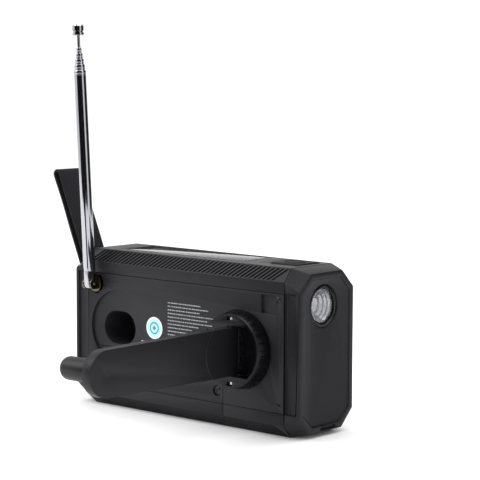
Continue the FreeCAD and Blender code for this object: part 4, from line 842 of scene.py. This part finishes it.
for edge in cage.edges:
    edge.select_set(abs(edge.verts[0].co.z - edge.verts[1].co.z) > STRAP_REACH / 2 * MM)
bmesh.update_edit_mesh(strap.data)
bpy.ops.mesh.subdivide(number_cuts=LEG_CUTS, quadcorner="STRAIGHT_CUT")
bpy.ops.object.mode_set(mode="OBJECT")
for vertex in strap.data.vertices:
    rise = vertex.co.z / (STRAP_REACH * MM)
    if 0 < rise < 1:
        bow = math.sin(math.pi * rise) * 0.35 + 0.12 * math.sin(9 * rise + 1.2)
        vertex.co.x -= math.copysign(bow * MM, vertex.co.x) * (1 if vertex.co.x > 0 else 0.6)
modify(strap, "SOLIDIFY", thickness=(STRAP_THICK - TAPE_CLEARANCE) * MM, offset=0.0, use_even_offset=True)
modify(strap, "BEVEL", width=TAPE_EDGE * MM, segments=3, limit_method="ANGLE", angle_limit=math.radians(50))
strap.rotation_euler = (0, STRAP_LEAN, 0)
strap.location = BAR * MM
settle(strap)
fit(smooth(strap, 40), "strap", "webbing_black", ("wrist_strap",))


def stitch_rows(name, heights, body):
    """Rows of short thread stitches across both faces of the strap, near its bar."""
    made = []
    for height in heights:
        for number in range(STITCHES):
            for face in (-1, 1):
                deselect()
                bpy.ops.mesh.primitive_uv_sphere_add(segments=8, ring_count=6, radius=0.5)
                thread = bpy.context.object
                thread.scale = Vector(STITCH_SIZE) * MM
                across = (number - (STITCHES - 1) / 2) * STITCH_PITCH
                out = face * (loop_radius + STRAP_THICK / 2 - STITCH_SUNK)
                thread.location = Vector((out, across, height)) * MM
                made.append(settle(thread))
    rows = joined(made, name)
    rows.rotation_euler = (0, STRAP_LEAN, 0)
    rows.location = BAR * MM
    return fit(smooth(settle(rows), 60), body, "webbing_black", (), "webbing_thread")


STITCHES, STITCH_PITCH, STITCH_SUNK, STITCH_SIZE = 9, 1.6, 0.28, (0.34, 1.15, 0.34)
stitch_rows("wrist_strap_stitches", (6.0, 9.5), "strap")
print("strap box", strap_low / MM, strap_high / MM)

# %% [markdown]
# ## Torch
# Behind a clear, slightly domed lens sits a bright bowl with a small square lamp at its throat. The bowl is
# stepped in rings, which break the beam up, and a black ring holds the lens in the cap.

# %% Ring, lens, bowl and lamp
lens_low, lens_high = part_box("torch_lens")
reflector_low, reflector_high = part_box("torch_reflector")
torch = (lens_low + lens_high) / 2 / MM
LENS_RADIUS = (lens_high.y - lens_low.y) / 2 / MM
LENS_EDGE, LENS_RISE, LENS_CHAMFER, LENS_STEPS = 1.35, 0.55, 0.25, 8
dome = [(0.0, LENS_RADIUS - 0.02), (1.15, LENS_RADIUS - 0.02), (LENS_EDGE, LENS_RADIUS - LENS_CHAMFER)]
for step in range(1, LENS_STEPS + 1):
    angle = math.radians(90 * step / LENS_STEPS)
    dome.append((LENS_EDGE + LENS_RISE * math.sin(angle),
                 max((LENS_RADIUS - LENS_CHAMFER) * math.cos(angle), 0.15)))
lens = turned("torch_lens_domed", (lens_high.x / MM, torch.y, torch.z), "-x", dome, sides=72)
fit(lens, "housing", "clear_plastic", ("torch_lens",))
shell_of("torch_ring", "torch_ring_moulded", 0.35, segments=3)

MOUTH, THROAT = LENS_RADIUS - 0.15, 2.6
BOWL_DEPTH = (reflector_high.x - reflector_low.x) / MM - 0.3
STEPS, STEP_RISE, BOWL_WALL = 10, 0.32, 0.55
BOWL_BACK = reflector_high.x / MM
bowl = []
for step in range(STEPS + 1):
    share = step / STEPS
    radius = THROAT + (MOUTH - THROAT) * math.sqrt(share)
    bowl.append((share * BOWL_DEPTH, radius + (STEP_RISE if step % 2 else 0.0)))
wall = [(along, radius + BOWL_WALL) for along, radius in reversed(bowl)]
reflector = turned("torch_reflector_bowl", (BOWL_BACK, torch.y, torch.z), "-x", bowl + wall,
                   hollow=True, sides=72)
fit(reflector, "housing", "reflector_metal", ("torch_reflector",))
LAMP_SIZE, LAMP_FRONT, LAMP_BACK, LAMP_DOME = 3.4, 1.6, 0.1, 1.35
lamp_chip = bar("torch_lamp_chip", (BOWL_BACK - LAMP_FRONT, torch.y - LAMP_SIZE / 2, torch.z - LAMP_SIZE / 2),
                (BOWL_BACK - LAMP_BACK, torch.y + LAMP_SIZE / 2, torch.z + LAMP_SIZE / 2))
fit(round_edges(lamp_chip, 0.25, 3), "housing", "lamp_white")
lamp_profile = [(0.0, LAMP_DOME)]
for degrees in range(15, 91, 15):
    angle = math.radians(degrees)
    lamp_profile.append((1.3 * math.sin(angle), max(LAMP_DOME * math.cos(angle), 0.1)))
lamp_dome = turned("torch_lamp_dome", (BOWL_BACK - 1.5, torch.y, torch.z), "-x", lamp_profile, sides=32)
fit(lamp_dome, "housing", "clear_plastic")
print("torch lens radius", LENS_RADIUS)

# %% [markdown]
# ## Printing and the label
# The back carries rows of small print and a round label. Neither says anything here: the print is rows of
# short dashes of uneven length, a film only a few hundredths thick, and the label has a plain ring and a
# diamond.

# %% Print and label
PRINT_FILM, PRINT_LINE, PRINT_HEIGHT = 0.035, 1.75, 0.55


def print_row(left, z, count):
    """A row of dashes that starts at left and runs towards the torch."""
    x = left
    dashes = []
    for _ in range(count):
        length = random.uniform(0.35, 1.3)
        dashes.append(bar("dash", (x - length, BACK - 0.01, z - PRINT_HEIGHT / 2),
                          (x, BACK + PRINT_FILM, z + PRINT_HEIGHT / 2)))
        x -= length + random.uniform(0.22, 0.5)
    return dashes


MAIN_PRINT, MAIN_ROWS, DASH_COUNTS = (9.3, 57.4), 10, (14, 17, 20, 23, 26)
LOW_PRINT, LOW_ROWS, LOW_DASHES = (27.6, 36.6), 2, 4
random.seed(21)
dashes = []
for row in range(MAIN_ROWS):
    dashes += print_row(MAIN_PRINT[0], MAIN_PRINT[1] - row * PRINT_LINE, random.choice(DASH_COUNTS))
for row in range(LOW_ROWS):
    dashes += print_row(LOW_PRINT[0], LOW_PRINT[1] - row * PRINT_LINE, LOW_DASHES)
print("dashes:", len(dashes))
print_rows = joined(dashes, "back_print_rows")
modify(print_rows, "BEVEL", width=0.012 * MM, segments=1)
fit(print_rows, "housing", "dial_white", (), "ink_pale")

LABEL = (18.5, BACK, 43.8)
DISCS = (("label_rim", 5.5, 0.06, "label_white"), ("label_field", 4.85, 0.075, "label_pale"))
for name, radius, film, look in DISCS:
    profile = [(-0.01, radius), (film * 0.6, radius), (film, radius - 0.03)]
    fit(turned(name, LABEL, "y", profile, sides=72), "housing", "dial_white", (), look)
ring = turned("label_ring", LABEL, "y", [(0.05, 3.1), (0.09, 3.1), (0.09, 2.35), (0.05, 2.35)],
              hollow=True, sides=64)
fit(ring, "housing", "dial_white", (), "label_teal")
diamond = turned("label_diamond", LABEL, "y", [(0.05, 1.35), (0.09, 1.35), (0.095, 1.2)], sides=4)
fit(diamond, "housing", "dial_white", (), "label_teal")
print("label at", LABEL)

# %% [markdown]
# ## Front
# The front has the speaker behind its grille, the tuning window with its scale, and the knobs. A knob is
# gripped by its ribs: the same small bar is made again at each place round the rim, and the bars are joined
# to one skirt.

# %% Knobs
RIB_PLACE, RIB_START, RIB_END, RIB_HALF = 0.955, 1.6, 8.2, 0.42


def knob_grip(node, name, body, ribs):
    """A ring of grip ribs and a pale pointer line on a front knob."""
    low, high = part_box(node)
    centre, radius = (low + high) / 2 / MM, (high.x - low.x) / 2 / MM
    face = low.y / MM
    made = []
    for number in range(ribs):
        rib = bar("rib", (radius * RIB_PLACE - 0.25, face + RIB_START, -RIB_HALF),
                  (radius * RIB_PLACE + 0.30, face + RIB_END, RIB_HALF))
        modify(rib, "BEVEL", width=0.22 * MM, segments=2)
        rib.rotation_euler = (0, 2 * math.pi * number / ribs, 0)
        rib.location = (centre.x * MM, 0, centre.z * MM)
        made.append(settle(rib))
    fit(smooth(joined(made, f"{name}_ribs")), body, "knob_black")
    line = bar(f"{name}_pointer", (centre.x - 0.35, face + 0.02, centre.z + radius * 0.30),
               (centre.x + 0.35, face + 0.4, centre.z + radius * 0.80))
    line.data.transform(Matrix.Translation((0, -0.02 * MM, 0)))
    fit(round_edges(line, 0.08, 2), body, "dial_white", (), "ink_pale")
    shell_of(node, f"{name}_cap", 0.7, segments=3)


knob_grip("tuning_knob", "tuning_knob_grip", "tuning", 40)
knob_grip("volume_knob", "volume_knob_grip", "volume", 30)

# %% [markdown]
# The scale is a white strip with ticks and the usual numbers of the two wave bands, raised by a film of
# ink. Numbers are text objects, made into meshes before their place is settled.

# %% Dial numbers and ticks
scale_low, scale_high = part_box("dial_scale")
window_low, window_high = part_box("dial_window")
scale_face = scale_low.y / MM


def dial_text(words, x, z, size):
    """A short number on the scale, as a mesh."""
    deselect()
    place = (x * MM, (scale_face - 0.012) * MM, z * MM)
    bpy.ops.object.text_add(location=place, rotation=(math.pi / 2, 0, 0))
    text = bpy.context.object
    text.data.body, text.data.size = words, size * MM
    text.data.align_x, text.data.align_y = "CENTER", "CENTER"
    text.data.extrude = 0.015 * MM
    text.data.resolution_u = 3
    bpy.ops.object.convert(target="MESH")
    return settle(bpy.context.object)


marks = []
window_x = (window_low.x + window_high.x) / 2 / MM
window_z = (window_low.z + window_high.z) / 2 / MM
SCALE_LENGTH, ROW_SHIFT, TEXT_SIZE = 46.0, 4.0, 3.2
TICKS, LONG_TICK, SHORT_TICK, TICK_HALF = 47, 1.5, 0.8, 0.07
rows = ((window_z + ROW_SHIFT, (88, 92, 96, 100, 104, 108)),
        (window_z - ROW_SHIFT, (530, 700, 900, 1200, 1700)))
for z, numbers in rows:
    for number, words in enumerate(numbers):
        x = window_x + SCALE_LENGTH * (number / (len(numbers) - 1) - 0.5)
        marks.append(dial_text(str(words), x, z, TEXT_SIZE))
for number in range(TICKS):
    x = window_x + SCALE_LENGTH * (number / (TICKS - 1) - 0.5)
    reach = LONG_TICK if number % 5 == 0 else SHORT_TICK
    marks.append(bar("tick", (x - TICK_HALF, scale_face - 0.025, window_z - reach),
                     (x + TICK_HALF, scale_face + 0.01, window_z + reach)))
fit(joined(marks, "dial_marks", active=-1), "housing", "dial_white", (), "ink_black")

grille_low, grille_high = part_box("speaker_grille")
grille = (grille_low + grille_high) / 2 / MM
GRILLE_RADIUS = (grille_high.x - grille_low.x) / 2 / MM
front_y = grille_low.y / MM
surround = turned("speaker_surround", (grille.x, front_y, grille.z), "-y",
                  [(-0.5, GRILLE_RADIUS + 2.2), (0.35, GRILLE_RADIUS + 2.2), (0.75, GRILLE_RADIUS + 1.6),
                   (0.75, GRILLE_RADIUS + 0.5), (0.35, GRILLE_RADIUS - 0.05), (-0.5, GRILLE_RADIUS - 0.05)],
                  hollow=True, sides=96)
fit(surround, "housing", "hub_black")
BEZEL = 2.0
bezel_outer = bar("dial_bezel", (window_low.x / MM - BEZEL, front_y - 0.6, window_low.z / MM - BEZEL),
                  (window_high.x / MM + BEZEL, front_y + 0.4, window_high.z / MM + BEZEL))
bezel_inner = bar("bezel_opening", (window_low.x / MM, front_y - 2, window_low.z / MM),
                  (window_high.x / MM, front_y + 2, window_high.z / MM))
modify(bezel_outer, "BEVEL", width=0.35 * MM, segments=3)
fit(smooth(cut_with(bezel_outer, bezel_inner)), "housing", "hub_black")
print("dial marks:", len(marks))

# %% [markdown]
# The lamp button on top has a raised ring for the thumb, and the port flap has a lip to pull it by.

# %% Button ring and flap lip
button_low, button_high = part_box("lamp_button")
button = (button_low + button_high) / 2 / MM
thumb = turned("lamp_button_ring", (button.x, button.y, button_high.z / MM), "z",
               [(-0.2, 5.4), (0.1, 5.4), (0.28, 5.15), (0.28, 4.75), (0.1, 4.5), (-0.2, 4.5)],
               hollow=True, sides=64)
fit(thumb, "lamp_button", "rubber_black")
flap_low, flap_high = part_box("port_flap")
lip = bar("port_flap_lip", (flap_high.x / MM - 0.4, -4.0, flap_high.z / MM - 2.4),
          (flap_high.x / MM + 0.5, 4.0, flap_high.z / MM - 1.0))
fit(round_edges(lip, 0.3, 3), "port_flap", "rubber_black")
print("top of the button", button_high.z / MM)
